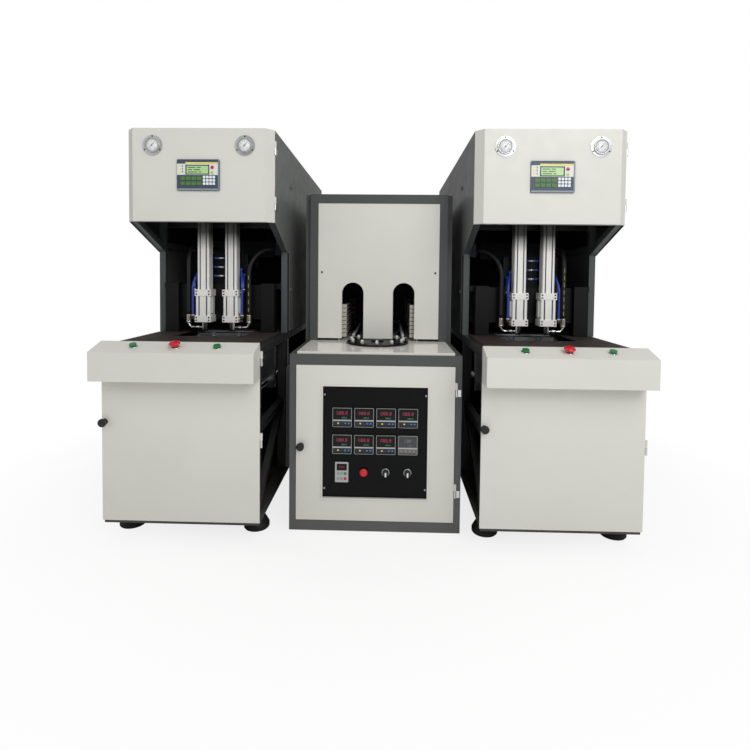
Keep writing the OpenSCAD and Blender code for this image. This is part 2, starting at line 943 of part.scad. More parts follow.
module stretch_rods() {
    color([0.85, 0.86, 0.87])
        at_heads() {
            translate([0, 0, rod_tip + stretch_rod_d / 2])
                cylinder(r = stretch_rod_d / 2, h = seal_top - rod_tip + stretch_travel + rod_guide);
            translate([0, 0, rod_tip + stretch_rod_d / 2])
                sphere(r = stretch_rod_d / 2, $fn = 32);
        }
}

module blow_nozzles() {
    color([0.5, 0.48, 0.45])
        for (side = [-1, 1])
            translate([side * cavity_pitch / 2, mould_y, 0]) {
                difference() {
                    union() {
                        translate([0, 0, nozzle_z])
                            cylinder(r1 = nozzle_d / 2 - 3, r2 = nozzle_d / 2, h = 6);
                        translate([0, 0, nozzle_z + 6])
                            cylinder(r = nozzle_d / 2, h = nozzle_len - 14);
                        translate([0, 0, nozzle_z + 6])
                            cylinder(r = piston_r, h = seal_len - 20);
                        on_side(side)
                            elbow_pipe();
                    }
                    translate([0, 0, nozzle_z - 1])
                        cylinder(r = rod_bore, h = seal_len);
                }
            }
}

module on_side(side) {
    mirror([side < 0 ? 1 : 0, 0, 0])
        children();
}

// Pipe that leaves the nozzle sideways, with a nut, and turns up to the ferrule
module elbow_pipe() {
    run = elbow_x - cavity_pitch / 2;
    rod_x(rod_bore + 2, 0, elbow_z, 5, run - elbow_r - rod_bore - 2);
    rod_x(nozzle_d / 2 + 12, 0, elbow_z, 9, 16);
    translate([run - elbow_r, 0, elbow_z + elbow_r])
        rotate([90, 90, 0])
            rotate_extrude(angle = 90)
                translate([elbow_r, 0])
                    circle(r = 5, $fn = 24);
    translate([run, 0, elbow_z + elbow_r])
        cylinder(r = 9, h = 10);
    translate([run, 0, elbow_z + elbow_r + 10])
        cylinder(r = 12, h = ferrule_len - 10);
}

module seal_cylinder_set() {
    color([0.82, 0.82, 0.8])
        at_heads()
            difference() {
                union() {
                    for (z = [seal_z, seal_top - cap_h])
                        translate([0, 0, z])
                            round_plate(cap_w, cap_w, 4, cap_h, $fn = 24);
                    translate([0, 0, seal_z + cap_h])
                        profile(cap_w - 8, seal_len - 2 * cap_h);
                }
                translate([0, 0, seal_z - 1])
                    cylinder(r = piston_r + slide_fit, h = seal_len - 19);
                translate([0, 0, seal_z])
                    cylinder(r = rod_bore, h = seal_len + 1);
            }
}

// Extruded cylinder profile with slots along its sides
module profile(w, h) {
    slot = w * 0.09;
    linear_extrude(h)
        difference() {
            rounded(w, w, w * 0.1);
            for (a = [0:90:270], s = [-1, 1])
                rotate(a)
                    translate([w / 2, s * w * 0.26])
                        square([slot, slot], center = true);
        }
}

module stretch_cylinder_set() {
    color([0.8, 0.8, 0.79])
        at_heads()
            difference() {
                union() {
                    translate([0, 0, seal_top])
                        profile(stretch_w, stretch_len - 24);
                    translate([0, 0, stretch_top - 24])
                        round_plate(stretch_w + 4, stretch_w + 4, 4, 24, $fn = 24);
                }
                translate([0, 0, seal_top - 1])
                    cylinder(r = rod_bore, h = stretch_len - 10);
            }
}

// Box columns on the bed, with the bridge that carries the cylinders
module cylinder_column_set() {
    color([0.1, 0.1, 0.11]) {
        both_sides()
            bar([column_x - column_w / 2, column_y, bed_top],
                [column_x + column_w / 2, column_y + column_w, bed_top + column_h]);
        bar([-column_x, bridge_y, bridge_z], [column_x, bridge_y + bridge_t, valve_z]);
        both_sides()
            bar([column_x, column_y + column_w - 20, tie_bar_z],
                [upper_x - post_tube, column_y + column_w, tie_bar_z + 28]);
        for (x = [-1, 0, 1])
            bar([x * 60 - 8, bridge_y + bridge_t - 1, bridge_z],
                [x * 60 + 8, bridge_y + bridge_t + 22, valve_z]);
    }
}

// Outer hoses turn back to the manifold, inner ones lean towards the side wall
module blow_hose_set(side) {
    color([0.06, 0.06, 0.06]) {
        translate([side * elbow_x, mould_y, 0])
            hose(hose_top, hose_bend, 0, manifold_y - mould_y - hose_bend);
        translate([-side * elbow_x, mould_y, 0])
            on_side(-side)
                hose(lean_z, lean_bend, lean_turn, lean_end);
    }
}

// A hose that rises from its ferrule and bends over backwards, turned aside by an angle
module hose(top, bend, turn, run) {
    rotate([0, 0, -turn]) {
        translate([0, 0, hose_z + slide_fit])
            cylinder(r = hose_d / 2, h = top - joint_gap - hose_z - slide_fit);
        arc_back(top, bend, 90, hose_d / 2, run);
    }
}

// Quarter or less of a ring that starts upwards and bends towards +Y, with a straight end.
// A ball a little wider than the tube joins the ring to the straight part at either end.
module arc_back(z, bend, angle, r, run) {
    gap_angle = asin(joint_gap / bend);
    translate([0, 0, z])
        sphere(r = r + joint_swell);
    translate([0, bend, z])
        rotate([90, 0, -90])
            rotate([0, 0, gap_angle])
                rotate_extrude(angle = angle - 2 * gap_angle)
                    translate([bend, 0])
                        circle(r = r);
    translate([0, bend * (1 - cos(angle)), z + bend * sin(angle)])
        rotate([-angle, 0, 0]) {
            sphere(r = r + joint_swell);
            translate([0, 0, joint_gap])
                cylinder(r = r, h = run - joint_gap);
        }
}

// Manifold block with three filter bowls, the valve block on the bridge and the
// block on the side wall that feeds the inner hose
module air_manifold(side) {
    color([0.7, 0.6, 0.3]) {
        on_side(-side) {
            bar([block_x, block_y - 40, block_z - 35], [block_x + block_t, block_y + 40, block_z + 35]);
            translate([block_x, block_y, block_z])
                rotate([0, 0, -lean_turn])
                    rod_y(0, slide_fit - nipple_len, 0, hose_d / 2 - 3, nipple_len + 10);
        }
        bar([-valve_x, bridge_y, valve_z], [valve_x, bridge_y + valve_t, valve_z + valve_h]);
        bar([-manifold_x, manifold_y, manifold_z - manifold_h / 2],
            [manifold_x, manifold_y + manifold_t, manifold_z + manifold_h / 2]);
        for (x = [-1, 0, 1])
            translate([x * 90, manifold_y + manifold_t / 2, manifold_z - manifold_h / 2 - 60])
                cylinder(r = 22, h = 61);
    }
}

// Blue control tubes with their fittings on the sealing cylinders' caps
module air_tube_set() {
    color([0.1, 0.2, 0.65])
        for (side = [-1, 1])
            on_side(side) {
                air_tube(seal_z + cap_h / 2, mould_y - 22, cavity_pitch / 2 + 36);
                air_tube(seal_top - cap_h / 2, mould_y - 2, cavity_pitch / 2 + 50);
            }
}

// One tube from a cap's elbow fitting, up and leaning in to its plug on the valve block
module air_tube(z, y, end_x) {
    start_x = cavity_pitch / 2 + cap_w / 2 + fitting_len;
    plug_y = bridge_y - plug_len;
    reach = norm([start_x - end_x, plug_y - y]);
    turn = tube_lean / tube_kinks;
    step = 2 * tube_bend * tan(turn / 2);
    run = (reach - step * (sin(turn) + sin(2 * turn))) / sin(tube_lean);
    end_z = lean_start + step * (cos(turn) + cos(2 * turn)) + run * cos(tube_lean);
    translate([end_x, plug_y, end_z])
        rotate([0, 0, ball_turn])
            sphere(r = tube_d / 2 + 3);
    rod_y(end_x, plug_y + 4, end_z, tube_d / 2 + 1, plug_len - 4);
    translate([start_x, y, 0]) {
        rod_x(-fitting_len, 0, z, 5, fitting_len);
        translate([0, 0, z - 6])
            cylinder(r = 7, h = 20, $fn = 24);
        translate([0, 0, z + 13])
            cylinder(r = tube_d / 2, h = lean_start - joint_gap - z - 13);
        translate([0, 0, lean_start])
            rotate([0, 0, atan2(start_x - end_x, plug_y - y)])
                leaning_tube(turn, step, run - 3, tube_kinks);
    }
}

// A tube that leans over towards +Y in even steps. A ball joins each step to the next.
module leaning_tube(turn, step, run, kinks) {
    sphere(r = tube_d / 2 + joint_swell);
    rotate([-turn, 0, 0]) {
        translate([0, 0, joint_gap])
            cylinder(r = tube_d / 2, h = kinks > 1 ? step - 2 * joint_gap : run - joint_gap);
        if (kinks > 1)
            translate([0, 0, step])
                leaning_tube(turn, step, run, kinks - 1);
    }
}

module foot_set() {
    color([0.07, 0.07, 0.07])
        for (x = [-foot_x, foot_x], y = [foot_y, foot_rear_y])
            translate([x, y, 0])
                rotate_extrude()
                    polygon([
                        [0, 0], [foot_d / 2 - 4, 0], [foot_d / 2, 5], [foot_d / 2, 20], [foot_d / 2 - 8, 34],
                        [foot_d / 3, foot_h], [10, foot_h], [10, base_z], [0, base_z]
                    ]);
}

// Fixed halves of the hinges with their pins
module hinge_half(x, y, z) {
    translate([x, y, z - hinge_len / 2]) {
        cylinder(r = knuckle_r, h = hinge_len / 2 - half_seam);
        cylinder(r = pin_r, h = hinge_len - 2);
    }
}

module station_hinges() {
    color([0.85, 0.86, 0.87]) {
        for (z = door_hinge_zs) {
            hinge_half(hinge_x, door_hinge_y, z);
            bar([frame_x, frame_front, z - hinge_len / 2],
                [hinge_x, door_hinge_y + knuckle_r, z - half_seam]);
            bar([frame_x, frame_front, z - hinge_len / 2],
                [frame_x + leaf_t, frame_front + leaf_w, z - half_seam]);
        }
        for (z = head_hinge_zs) {
            hinge_half(hinge_x, head_hinge_y, z);
            bar([station_w / 2, head_hinge_y, z - hinge_len / 2],
                [station_w / 2 + leaf_t, head_hinge_y + leaf_w, z - half_seam]);
        }
    }
}

module heater_hinges() {
    color([0.85, 0.86, 0.87])
        for (z = heater_hinge_zs) {
            hinge_half(heater_hinge_x, heater_hinge_y, z);
            bar([heater_hinge_x, -1.5, z - hinge_len / 2], [heater_hinge_x + 19, 0, z - half_seam]);
        }
}

module heater_cabinet() {
    w = heater_w / 2;
    color([0.3, 0.3, 0.31])
        difference() {
            bar([-w, 0, 0], [w, heater_d, heater_low_h]);
            bar([-w + sheet, 20, sheet], [w - sheet, heater_d - sheet, heater_low_h - sheet]);
            bar([-w + border, -1, heater_door_z - door_gap],
                [w - border, 21, heater_door_z + heater_door_h + door_gap]);
            translate([0, wheel_y, heater_low_h - sheet - 1])
                cylinder(r = shaft_r + 1, h = sheet + 2);
            translate([0, rear_wheel_y, heater_low_h - sheet - 1])
                cylinder(r = shaft_r + 1, h = sheet + 2);
            for (i = [0:7], x = [-1, 1])
                bar([x * 180 - vent_half, heater_d - sheet - 1, 420 + i * 26],
                    [x * 180 + vent_half, heater_d + 1, 428 + i * 26]);
        }
}

// Glossy tray on the lower cabinet, with a round opening for the wheel's hub
module heater_shelf() {
    w = heater_w / 2 - 30;
    color([0.85, 0.84, 0.8])
        difference() {
            bar([-w, 14, heater_low_h], [w, heater_d - 30, shelf_top]);
            for (y = [wheel_y, rear_wheel_y])
                translate([0, y, heater_low_h - 1])
                    cylinder(r = shaft_r + 1, h = shelf_t + 2);
        }
}

module oven_hood() {
    w = heater_w / 2;
    fw = hood_w / 2;
    color([0.3, 0.3, 0.31]) {
        difference() {
            bar([-fw, hood_y, shelf_top], [fw, heater_d - 30, heater_h]);
            bar([-fw + sheet, hood_y + hood_front_t, shelf_top - 1],
                [fw - sheet, heater_d - 30 - sheet, heater_h - sheet]);
            bar([-hood_panel_w / 2, hood_y - 1, shelf_top - 1],
                [hood_panel_w / 2, hood_y + hood_front_t + 1, hood_panel_top]);
            for (i = [0:9], x = [-1, 1])
                bar([x * 160 - 70, heater_d - 30 - sheet - 1, 1100 + i * 26],
                    [x * 160 + 70, heater_d - 29, 1108 + i * 26]);
        }
        both_sides()
            difference() {
                bar([fw, hood_y + cover_back, heater_low_h], [w, heater_d - 30, heater_h]);
                bar([fw - 1, hood_y + cover_back + sheet, heater_low_h - 1],
                    [w - sheet, heater_d - 30 - sheet, heater_h - sheet]);
            }
    }
}

module oven_front_panel() {
    pw = hood_panel_w / 2 - panel_gap;
    spring_z = shelf_top + arch_h - arch_w / 2;
    color([0.84, 0.83, 0.79])
        difference() {
            union() {
                bar([-pw, hood_y + 2, hood_panel_low], [pw, hood_y + 2 + sheet, hood_panel_top - panel_gap]);
                for (x = [-arch_x, arch_x])
                    arch_cut(x, arch_w + 4, hood_y, spring_z, 5);
            }
            for (x = [-arch_x, arch_x])
                arch_cut(x, arch_w, hood_y - 1, spring_z, 8);
            bar([-pw, hood_y - 1, shelf_top - 50], [pw, hood_y + 20, hood_panel_low]);
        }
}

// Solid in the form of an arch, used for the opening and for its rim
module arch_cut(x, w, y, spring_z, t) {
    bar([x - w / 2, y, shelf_top - 20], [x + w / 2, y + t, spring_z]);
    rod_y(x, y, spring_z, w / 2, t);
}

module heater_door() {
    w = heater_door_w / 2;
    top = heater_door_z + heater_door_h;
    cw = control_w / 2;
    color([0.84, 0.83, 0.79])
        difference() {
            union() {
                difference() {
                    bar([-w, 0, heater_door_z], [w, door_depth, top]);
                    bar([-w + sheet, sheet, heater_door_z + sheet], [w - sheet, door_depth + 1, top - sheet]);
                }
                bar([-cw - 6, -4, control_z - 6], [cw + 6, control_depth + sheet, control_z + control_h + 6]);
                for (z = heater_hinge_zs) {
                    translate([heater_hinge_x, heater_hinge_y, z])
                        cylinder(r = knuckle_r, h = hinge_len / 2 - half_seam);
                    bar([heater_hinge_x - 22, -2, z], [heater_hinge_x, 0, z + hinge_len / 2 - half_seam]);
                }
            }
            bar([-cw, -10, control_z], [cw, door_depth, control_z + control_h]);
            for (z = heater_hinge_zs)
                translate([heater_hinge_x, heater_hinge_y, z - 1])
                    cylinder(r = pin_r + slide_fit, h = hinge_len);
            rod_y(-heater_knob_x, -1, heater_knob_z, knob_stem_r + panel_gap, sheet + 2);
        }
}

// Black panel seated in the door's window
module control_panel() {
    cw = control_w / 2 - panel_gap;
    color([0.06, 0.06, 0.07])
        difference() {
            bar([-cw, control_depth, control_z + panel_gap],
                [cw, control_depth + sheet, control_z + control_h - panel_gap]);
            for (c = [0:3], r = [0:1])
                cutout(column_x_at(c), regulator_z - r * row_pitch, regulator_w, regulator_w);
            cutout(column_x_at(0), instrument_z, inverter_w, inverter_h);
            for (c = [1:3])
                rod_y(column_x_at(c), 0, instrument_z, button_hole_r, 30);
        }
}

// Hole in the panel for an instrument's case
module cutout(x, z, w, h) {
    dx = w / 2 - case_in + panel_gap;
    dz = h / 2 - case_in + panel_gap;
    bar([x - dx, 0, z - dz], [x + dx, 30, z + dz]);
}

function column_x_at(c) = (c - 1.5) * column_pitch;

module panel_instruments() {
    color([0.1, 0.1, 0.11]) {
        for (c = [0:3], r = [0:1])
            translate([column_x_at(c), control_depth, regulator_z - r * row_pitch])
                instrument(regulator_w, regulator_w);
        translate([column_x_at(0), control_depth, instrument_z])
            instrument(inverter_w, inverter_h);
    }
}

// An instrument's bezel in front of the panel and its case behind it
module instrument(w, h) {
    difference() {
        rotate([90, 0, 0])
            round_plate(w, h, 3, 7, $fn = 24);
        bar([-w / 2 + 6, -8, -h / 2 + 6], [w / 2 - 6, -4, h / 2 - 6]);
    }
    bar([-w / 2 + case_in, -1, -h / 2 + case_in], [w / 2 - case_in, instrument_depth, h / 2 - case_in]);
}

module stop_button() {
    color([0.8, 0.1, 0.1])
        translate([column_x_at(1), control_depth, instrument_z])
            rotate([90, 0, 0]) {
                translate([0, 0, 4 + start_travel])
                    rotate_extrude()
                        polygon([[0, 0], [stop_r - 1, 0], [stop_r, 1], [stop_r, 4], [stop_r - 4, 8], [0, 9]]);
                translate([0, 0, -24])
                    cylinder(r = stem_r, h = 29 + start_travel);
            }
}

module rotary_switch(c) {
    color([0.12, 0.12, 0.12])
        translate([column_x_at(c), control_depth, instrument_z])
            rotate([90, 0, 0]) {
                translate([0, 0, 3.3])
                    cylinder(r = switch_r, h = 5);
                translate([-4, -switch_r, 3.3])
                    cube([8, 2 * switch_r, 16]);
                translate([0, 0, -24])
                    cylinder(r = stem_r, h = 28);
            }
}

module heater_door_knob() {
    color([0.08, 0.08, 0.08])
        translate([-heater_knob_x, 0, heater_knob_z])
            rotate([90, 0, 0])
                knob_turned();
}

// Wheel with slots in its rim and a preform holder in each slot
module holder_wheel() {
    color([0.08, 0.08, 0.09]) {
        difference() {
            translate([0, 0, wheel_z])
                cylinder(r = wheel_r, h = wheel_t, $fn = 96);
            for (i = [0:holders - 1])
                rotate([0, 0, (i + 0.5) * 360 / holders])
                    translate([wheel_r - 34, -5, wheel_z + 3])
                        cube([40, 10, wheel_t]);
        }
        for (i = [0:holders - 1])
            rotate([0, 0, i * 360 / holders - 90])
                translate([arch_x, 0, wheel_z + wheel_t - 1])
                    cylinder(r = peg_r, h = peg_h + 1);
        translate([0, 0, heater_low_h - 40])
            cylinder(r = shaft_r, h = wheel_z - heater_low_h + 41);
        translate([0, 0, wheel_z])
            cylinder(r = hub_r, h = wheel_t + 8);
    }
}

module carrier_wheel() {
    translate([0, wheel_y, 0])
        holder_wheel();
}

module rear_wheel() {
    translate([0, rear_wheel_y, 0])
        holder_wheel();
}

// Straight runs of the carrier chain between the two wheels, each on its track
module carrier_chain() {
    first = wheel_y + 0.8 * wheel_r;
    last = rear_wheel_y - 0.8 * wheel_r;
    pitch = 2 * PI * arch_x / holders;
    count = floor((last - first) / pitch);
    color([0.1, 0.1, 0.11])
        both_sides() {
            bar([arch_x - 18, first, shelf_top], [arch_x + 14, last, wheel_z]);
            bar([arch_x - 11, first, wheel_z - 1], [arch_x + 11, last, wheel_z + chain_t]);
            for (i = [0:count - 1])
                translate([arch_x, first + (i + 0.5) * pitch, wheel_z + chain_t - 1])
                    cylinder(r = peg_r, h = peg_h);
        }
}

module heating_lamps() {
    color([0.9, 0.85, 0.75])
        both_sides()
            for (i = [0:lamp_count - 1]) {
                rod_y(lamp_x, lamp_y, lamp_z + i * lamp_pitch, 6, lamp_len, $fn = 24);
                for (y = [lamp_y - 12, lamp_y + lamp_len - 12])
                    bar([lamp_x - 9, y, lamp_z + i * lamp_pitch - 9],
                        [reflector_x, y + 24, lamp_z + i * lamp_pitch + 9]);
            }
}

// Reflector plates outside the lamps, and plain ones inside the preforms' path
module reflectors() {
    color([0.8, 0.81, 0.82])
        both_sides() {
            bar([reflector_x, reflector_y, shelf_top],
                [reflector_x + sheet, reflector_y + reflector_len, lamp_z + reflector_h]);
            bar([inner_reflector_x - sheet, reflector_y, shelf_top + reflector_lift],
                [inner_reflector_x, reflector_y + reflector_len, lamp_z + reflector_h]);
            for (y = [reflector_y + 100, reflector_y + reflector_len - 120])
                bar([inner_reflector_x - sheet, y, shelf_top],
                    [inner_reflector_x, y + 20, shelf_top + reflector_lift + 1]);
        }
}

module all_side_panels() {
    for (side = [-1, 1])
        station(side)
            side_panel_set(side);
}

module all_blow_hoses() {
    for (side = [-1, 1])
        station(side)
            blow_hose_set(side);
}

module all_air_manifolds() {
    for (side = [-1, 1])
        station(side)
            air_manifold(side);
}

module all_hinges() {
    both_stations()
        station_hinges();
    heater()
        heater_hinges();
}

station(-1) base_frame();  // left_base_frame
station(-1) head_cover();  // left_head_cover
station(-1) pressure_gauges();  // left_pressure_gauges
station(-1) operating_panel();  // left_operating_panel
station(-1) front_door();  // left_front_door
station(-1) door_knob();  // left_door_knob
station(-1) start_button(-start_x);  // left_station_left_start_button
station(-1) start_button(start_x);  // left_station_right_start_button
station(-1) emergency_stop();  // left_emergency_stop
station(-1) clamp_yoke();  // left_clamp_yoke
station(-1) front_mould();  // left_front_mould
station(-1) rear_platen();  // left_rear_platen
station(-1) rear_mould();  // left_rear_mould
station(-1) stretch_rods();  // left_stretch_rods
station(-1) blow_nozzles();  // left_blow_nozzles
station(1) base_frame();  // right_base_frame
station(1) head_cover();  // right_head_cover
station(1) pressure_gauges();  // right_pressure_gauges
station(1) operating_panel();  // right_operating_panel
station(1) front_door();  // right_front_door
station(1) door_knob();  // right_door_knob
station(1) start_button(-start_x);  // right_station_left_start_button
station(1) start_button(start_x);  // right_station_right_start_button
station(1) emergency_stop();  // right_emergency_stop
station(1) clamp_yoke();  // right_clamp_yoke
station(1) front_mould();  // right_front_mould
station(1) rear_platen();  // right_rear_platen
station(1) rear_mould();  // right_rear_mould
station(1) stretch_rods();  // right_stretch_rods
station(1) blow_nozzles();  // right_blow_nozzles
both_stations() upper_frame();  // upper_frames
both_stations() cabinet_skin();  // cabinet_skins
all_side_panels();  // side_panels
both_stations() bed_plate();  // bed_plates
both_stations() guide_rod_set();  // guide_rods
both_stations() guide_plate_set();  // guide_plates
both_stations() foot_set();  // levelling_feet
all_hinges();  // hinges
both_stations() stretch_cylinder_set();  // stretch_cylinders
both_stations() seal_cylinder_set();  // seal_cylinders
both_stations() cylinder_column_set();  // cylinder_columns
all_blow_hoses();  // blow_hoses
both_stations() air_tube_set();  // air_tubes
all_air_manifolds();  // air_manifolds
heater() heater_cabinet();
heater() heater_shelf();
heater() oven_hood();
heater() oven_front_panel();
heater() heater_door();
heater() control_panel();
heater() panel_instruments();
heater() stop_button();
heater() rotary_switch(2);  // heating_switch
heater() rotary_switch(3);  // drive_switch
heater() heater_door_knob();
heater() carrier_wheel();
heater() rear_wheel();
heater() carrier_chain();
heater() heating_lamps();
heater() reflectors();
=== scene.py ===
"""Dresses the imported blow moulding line: coatings on the housings, and the small pieces that the solids leave out.

Sizes are in millimetres in a cabinet's own frame, unless a comment says otherwise: X across its front, Y back
from its front door, Z up.
"""

import json
from functools import cache
from math import atan2, copysign, cos, pi, radians, sin

import bmesh
import bpy
from bpy.props import FloatProperty, FloatVectorProperty, IntProperty, PointerProperty
from mathutils import Matrix, Vector

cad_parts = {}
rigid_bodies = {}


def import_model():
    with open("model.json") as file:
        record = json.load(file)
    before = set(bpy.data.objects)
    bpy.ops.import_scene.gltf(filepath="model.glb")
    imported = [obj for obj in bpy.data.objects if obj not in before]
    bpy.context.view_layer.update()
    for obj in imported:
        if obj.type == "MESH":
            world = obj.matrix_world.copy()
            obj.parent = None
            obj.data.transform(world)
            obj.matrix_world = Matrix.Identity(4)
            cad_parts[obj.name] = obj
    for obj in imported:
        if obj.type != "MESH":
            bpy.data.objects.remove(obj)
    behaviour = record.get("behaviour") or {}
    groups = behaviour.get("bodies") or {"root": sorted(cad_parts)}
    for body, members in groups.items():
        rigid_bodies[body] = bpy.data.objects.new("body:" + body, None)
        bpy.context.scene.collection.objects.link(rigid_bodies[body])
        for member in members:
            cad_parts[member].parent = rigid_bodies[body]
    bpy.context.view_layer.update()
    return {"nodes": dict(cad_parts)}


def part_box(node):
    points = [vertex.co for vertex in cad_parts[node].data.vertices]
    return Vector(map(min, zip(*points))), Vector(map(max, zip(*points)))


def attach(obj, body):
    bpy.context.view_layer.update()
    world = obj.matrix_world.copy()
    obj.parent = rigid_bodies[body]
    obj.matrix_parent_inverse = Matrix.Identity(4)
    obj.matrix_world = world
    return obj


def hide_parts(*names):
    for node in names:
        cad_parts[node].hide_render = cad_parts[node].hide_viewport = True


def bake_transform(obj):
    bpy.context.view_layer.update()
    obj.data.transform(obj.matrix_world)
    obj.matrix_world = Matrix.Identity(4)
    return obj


bl_info = {
    "name": "Blow moulding line",
    "version": (1, 0, 0),
    "blender": (4, 5, 0),
    "location": "View3D > Sidebar > Blow line",
    "description": "Finishes and fittings of a semi-automatic blow moulding line",
    "category": "Object",
}

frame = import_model()
NODES = frame["nodes"]

UP, FRONT = (0, 0, 1), (0, -1, 0)

# Heights and distances that the fittings share with the solids
STATION_X, HEAD_FACE, POST_BACK, STATION_BACK = 772, 201, 562, 1784
GAUGE_X, GAUGE_Z = 205, 1669
PANEL_Z, PANEL_W, PANEL_H = 1539, 188, 136
CONSOLE_Y, CONSOLE_Z, CONSOLE_TILT = -48.5, 813, atan2(32, 97)
START_X, MOULD_Y, HEAD_X = 168, 465, 68
SEAL_Z, SEAL_TOP = 870, 1030
COLUMN_PITCH, REGULATOR_Z, ROW_PITCH, ROW3_Z = 94.5, 495, 117, 257
HOOD_Y, HOOD_BACK, HEATER_BACK = 390, 1490, 1520
WHEEL_YS, HOLDER_RADIUS, HOLDERS, PEG_FOOT = (315, 1313), 128, 11, 786
CHAIN_Y0, CHAIN_Y1, CHAIN_PITCH = 435, 1193, 2 * pi * HOLDER_RADIUS / HOLDERS
HOSE_X, HOSE_Z, HOSE_R, HOSE_TOP, HOSE_BEND, MANIFOLD_Y = 150, 906, 10, 1160, 90, 830
ELBOW_Z, ELBOW_R, NUT_Z, DASHES_Z = 842, 20, HOSE_Z - 42, 930
VALVE_Y, VALVE_FACE, VALVE_ROWS, FITTING_X, PORT_X = 494, 505, (1098, 1142, 1187), 122, 108
HOOD_SCREW_X, HOOD_SCREW_Z, DOOR_SCREW_X, DOOR_SCREWS_Z = 285, 1122, 218, (183, 592)
LEAN_Z, LEAN_BEND, LEAN_END, LEAN_TURN = 1107, 131.7, 12, radians(50)

# Rooms painted near black as painted shade: a middle and a half width in the frame of the whole line
BASE_X, HEAD_ROOM_X, BEAMS_X, HOOD_X = (STATION_X, 321), (STATION_X, 328.5), (STATION_X, 286), (18, 340)
BELOW_ROOF_Z, HEAD_ROOM_Z, HOOD_Z = (850, 894), (1500, 240), (1140, 368.5)

# Camera of the photograph: place in metres, turns in radians, and the image row that its axis meets
CAMERA_PLACE, CAMERA_TURNS = (0.0677, -2.841, 1.0979), (-0.0262, 0.0362, 0.0105)
PHOTO_ROWS, AXIS_ROW = 750, 295.5

# Studio lamps: place and size in metres, and their share of the key lamp's power
LAMPS = {
    "key": ((1.9, -4.0, 4.0), 3.0, 1.0),
    "front": ((1.7, -4.3, 2.5), 1.4, 0.36),
    "fill": ((-3.2, -3.8, 2.6), 3.0, 0.2),
    "top": ((0.0, 0.2, 4.2), 4.0, 0.36),
}
LAMP_AIM = Vector((0.1, -0.2, 1.8))

# Where each cabinet's own frame lies in the line, in metres
STATIONS = {
    side: Vector((sign * STATION_X / 1000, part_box(side + "_head_cover")[0].y - HEAD_FACE / 1000, 0))
    for side, sign in (("left", -1), ("right", 1))
}
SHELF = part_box("heater_shelf")
HEATER = Vector(((SHELF[0].x + SHELF[1].x) / 2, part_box("heater_cabinet")[0].y, 0))

# Fields of the operating panel from its upper left corner: left, right, top, bottom, finish, lift, thickness, corner
PANEL_FIELDS = (
    (1, 38, 19.4, 68, 1, 0, 0.3, 0.3), (144, 181.5, 19.4, 68, 1, 0, 0.3, 0.3),
    (38.4, 143.6, 66.4, 68, 1, 0, 0.3, 0.3), (38.4, 143.6, 19.4, 23.6, 1, 0, 0.3, 0.3),
    (38, 181.5, 12.5, 19, 2, 0, 0.5, 0.5), (1.5, 186.5, 127, 134.5, 5, 0, 0.3, 1),
    (182.5, 186.5, 2, 126, 5, 0, 0.3, 1), (39, 143, 25, 65, 3, -1.4, 0.9, 2), (43, 139, 28, 62, 4, -0.5, 0.2, 1),
    *(field for z in (26, 39, 52)
      for field in ((8, 20, z, z + 5, 6, 0.3, 0.2, 0.6), (24, 27, z - 2, z + 7, 3, 0.3, 0.2, 0.6))),
)

# Spans of a panel's keys, in the order that the key tables give them
KEY_SPANS = ("Pitch X", "Pitch Z", "Width", "Height", "Corner", "Thick")

# The solids that carry each finish
SOLIDS = {
    "ivory": "head_cover front_door oven_front_panel heater_door",
    "silver": "pressure_gauges",
    "slate_abs": "operating_panel",
    "black_abs": "door_knob heater_door_knob panel_instruments heating_switch drive_switch",
    "green_cap": "left_start_button right_start_button",
    "red_cap": "emergency_stop stop_button",
    "steel": "clamp_yoke rear_platen guide_plates",
    "mould": "front_mould rear_mould",
    "chrome": "stretch_rods hinges",
    "nozzle": "blow_nozzles",
    "frame": "base_frame",
    "post": "upper_frames",
    "shell": "cabinet_skins side_panels",
    "bed": "bed_plates",
    "ground": "guide_rods",
    "rubber": "levelling_feet",
    "stretch_profile": "stretch_cylinders",
    "seal_profile": "seal_cylinders",
    "blackened": "cylinder_columns carrier_wheel rear_wheel carrier_chain",
    "hose": "blow_hoses",
    "blue_tube": "air_tubes",
    "anodised": "air_manifolds",
    "grey": "heater_cabinet",
    "ivory_gloss": "heater_shelf",
    "hood": "oven_hood",
    "panel_black": "control_panel",
    "sealing": "heating_lamps",
    "satin_aluminium": "reflectors",
}
FINISH_OF = {solid: finish for finish, solids in SOLIDS.items() for solid in solids.split()}
FINISHES = {}


def from_hex(code):
    """An sRGB hex colour as linear red, green, blue and alpha."""
    parts = [int(code[i:i + 2], 16) / 255 for i in (0, 2, 4)]
    return tuple(c / 12.92 if c <= 0.04045 else ((c + 0.055) / 1.055) ** 2.4 for c in parts) + (1.0,)


def length(name, text, default):
    """A length in metres that a user may change."""
    return FloatProperty(name=name, description=text, default=default, unit="LENGTH")


def tint(name, text, code):
    """A colour that a user may change."""
    return FloatVectorProperty(name=name, description=text, subtype="COLOR", size=4, default=from_hex(code))


class LineSizes(bpy.types.PropertyGroup):
    """Sizes of the fittings that scene.py adds."""

    tube: length("Air tube", "Diameter of a blue air tube", 0.0105)
    dash: length("Hose dash", "Length of a yellow dash on a blowing hose", 0.02)
    bezel: length("Bezel", "Radius of a push button's metal bezel", 0.0165)
    dial_marks: IntProperty(name="Dial marks", description="Marks round a pressure gauge's dial", default=33, min=9)
    holder_cap: length("Holder cap", "Radius of the white cap on a preform holder", 0.0076)


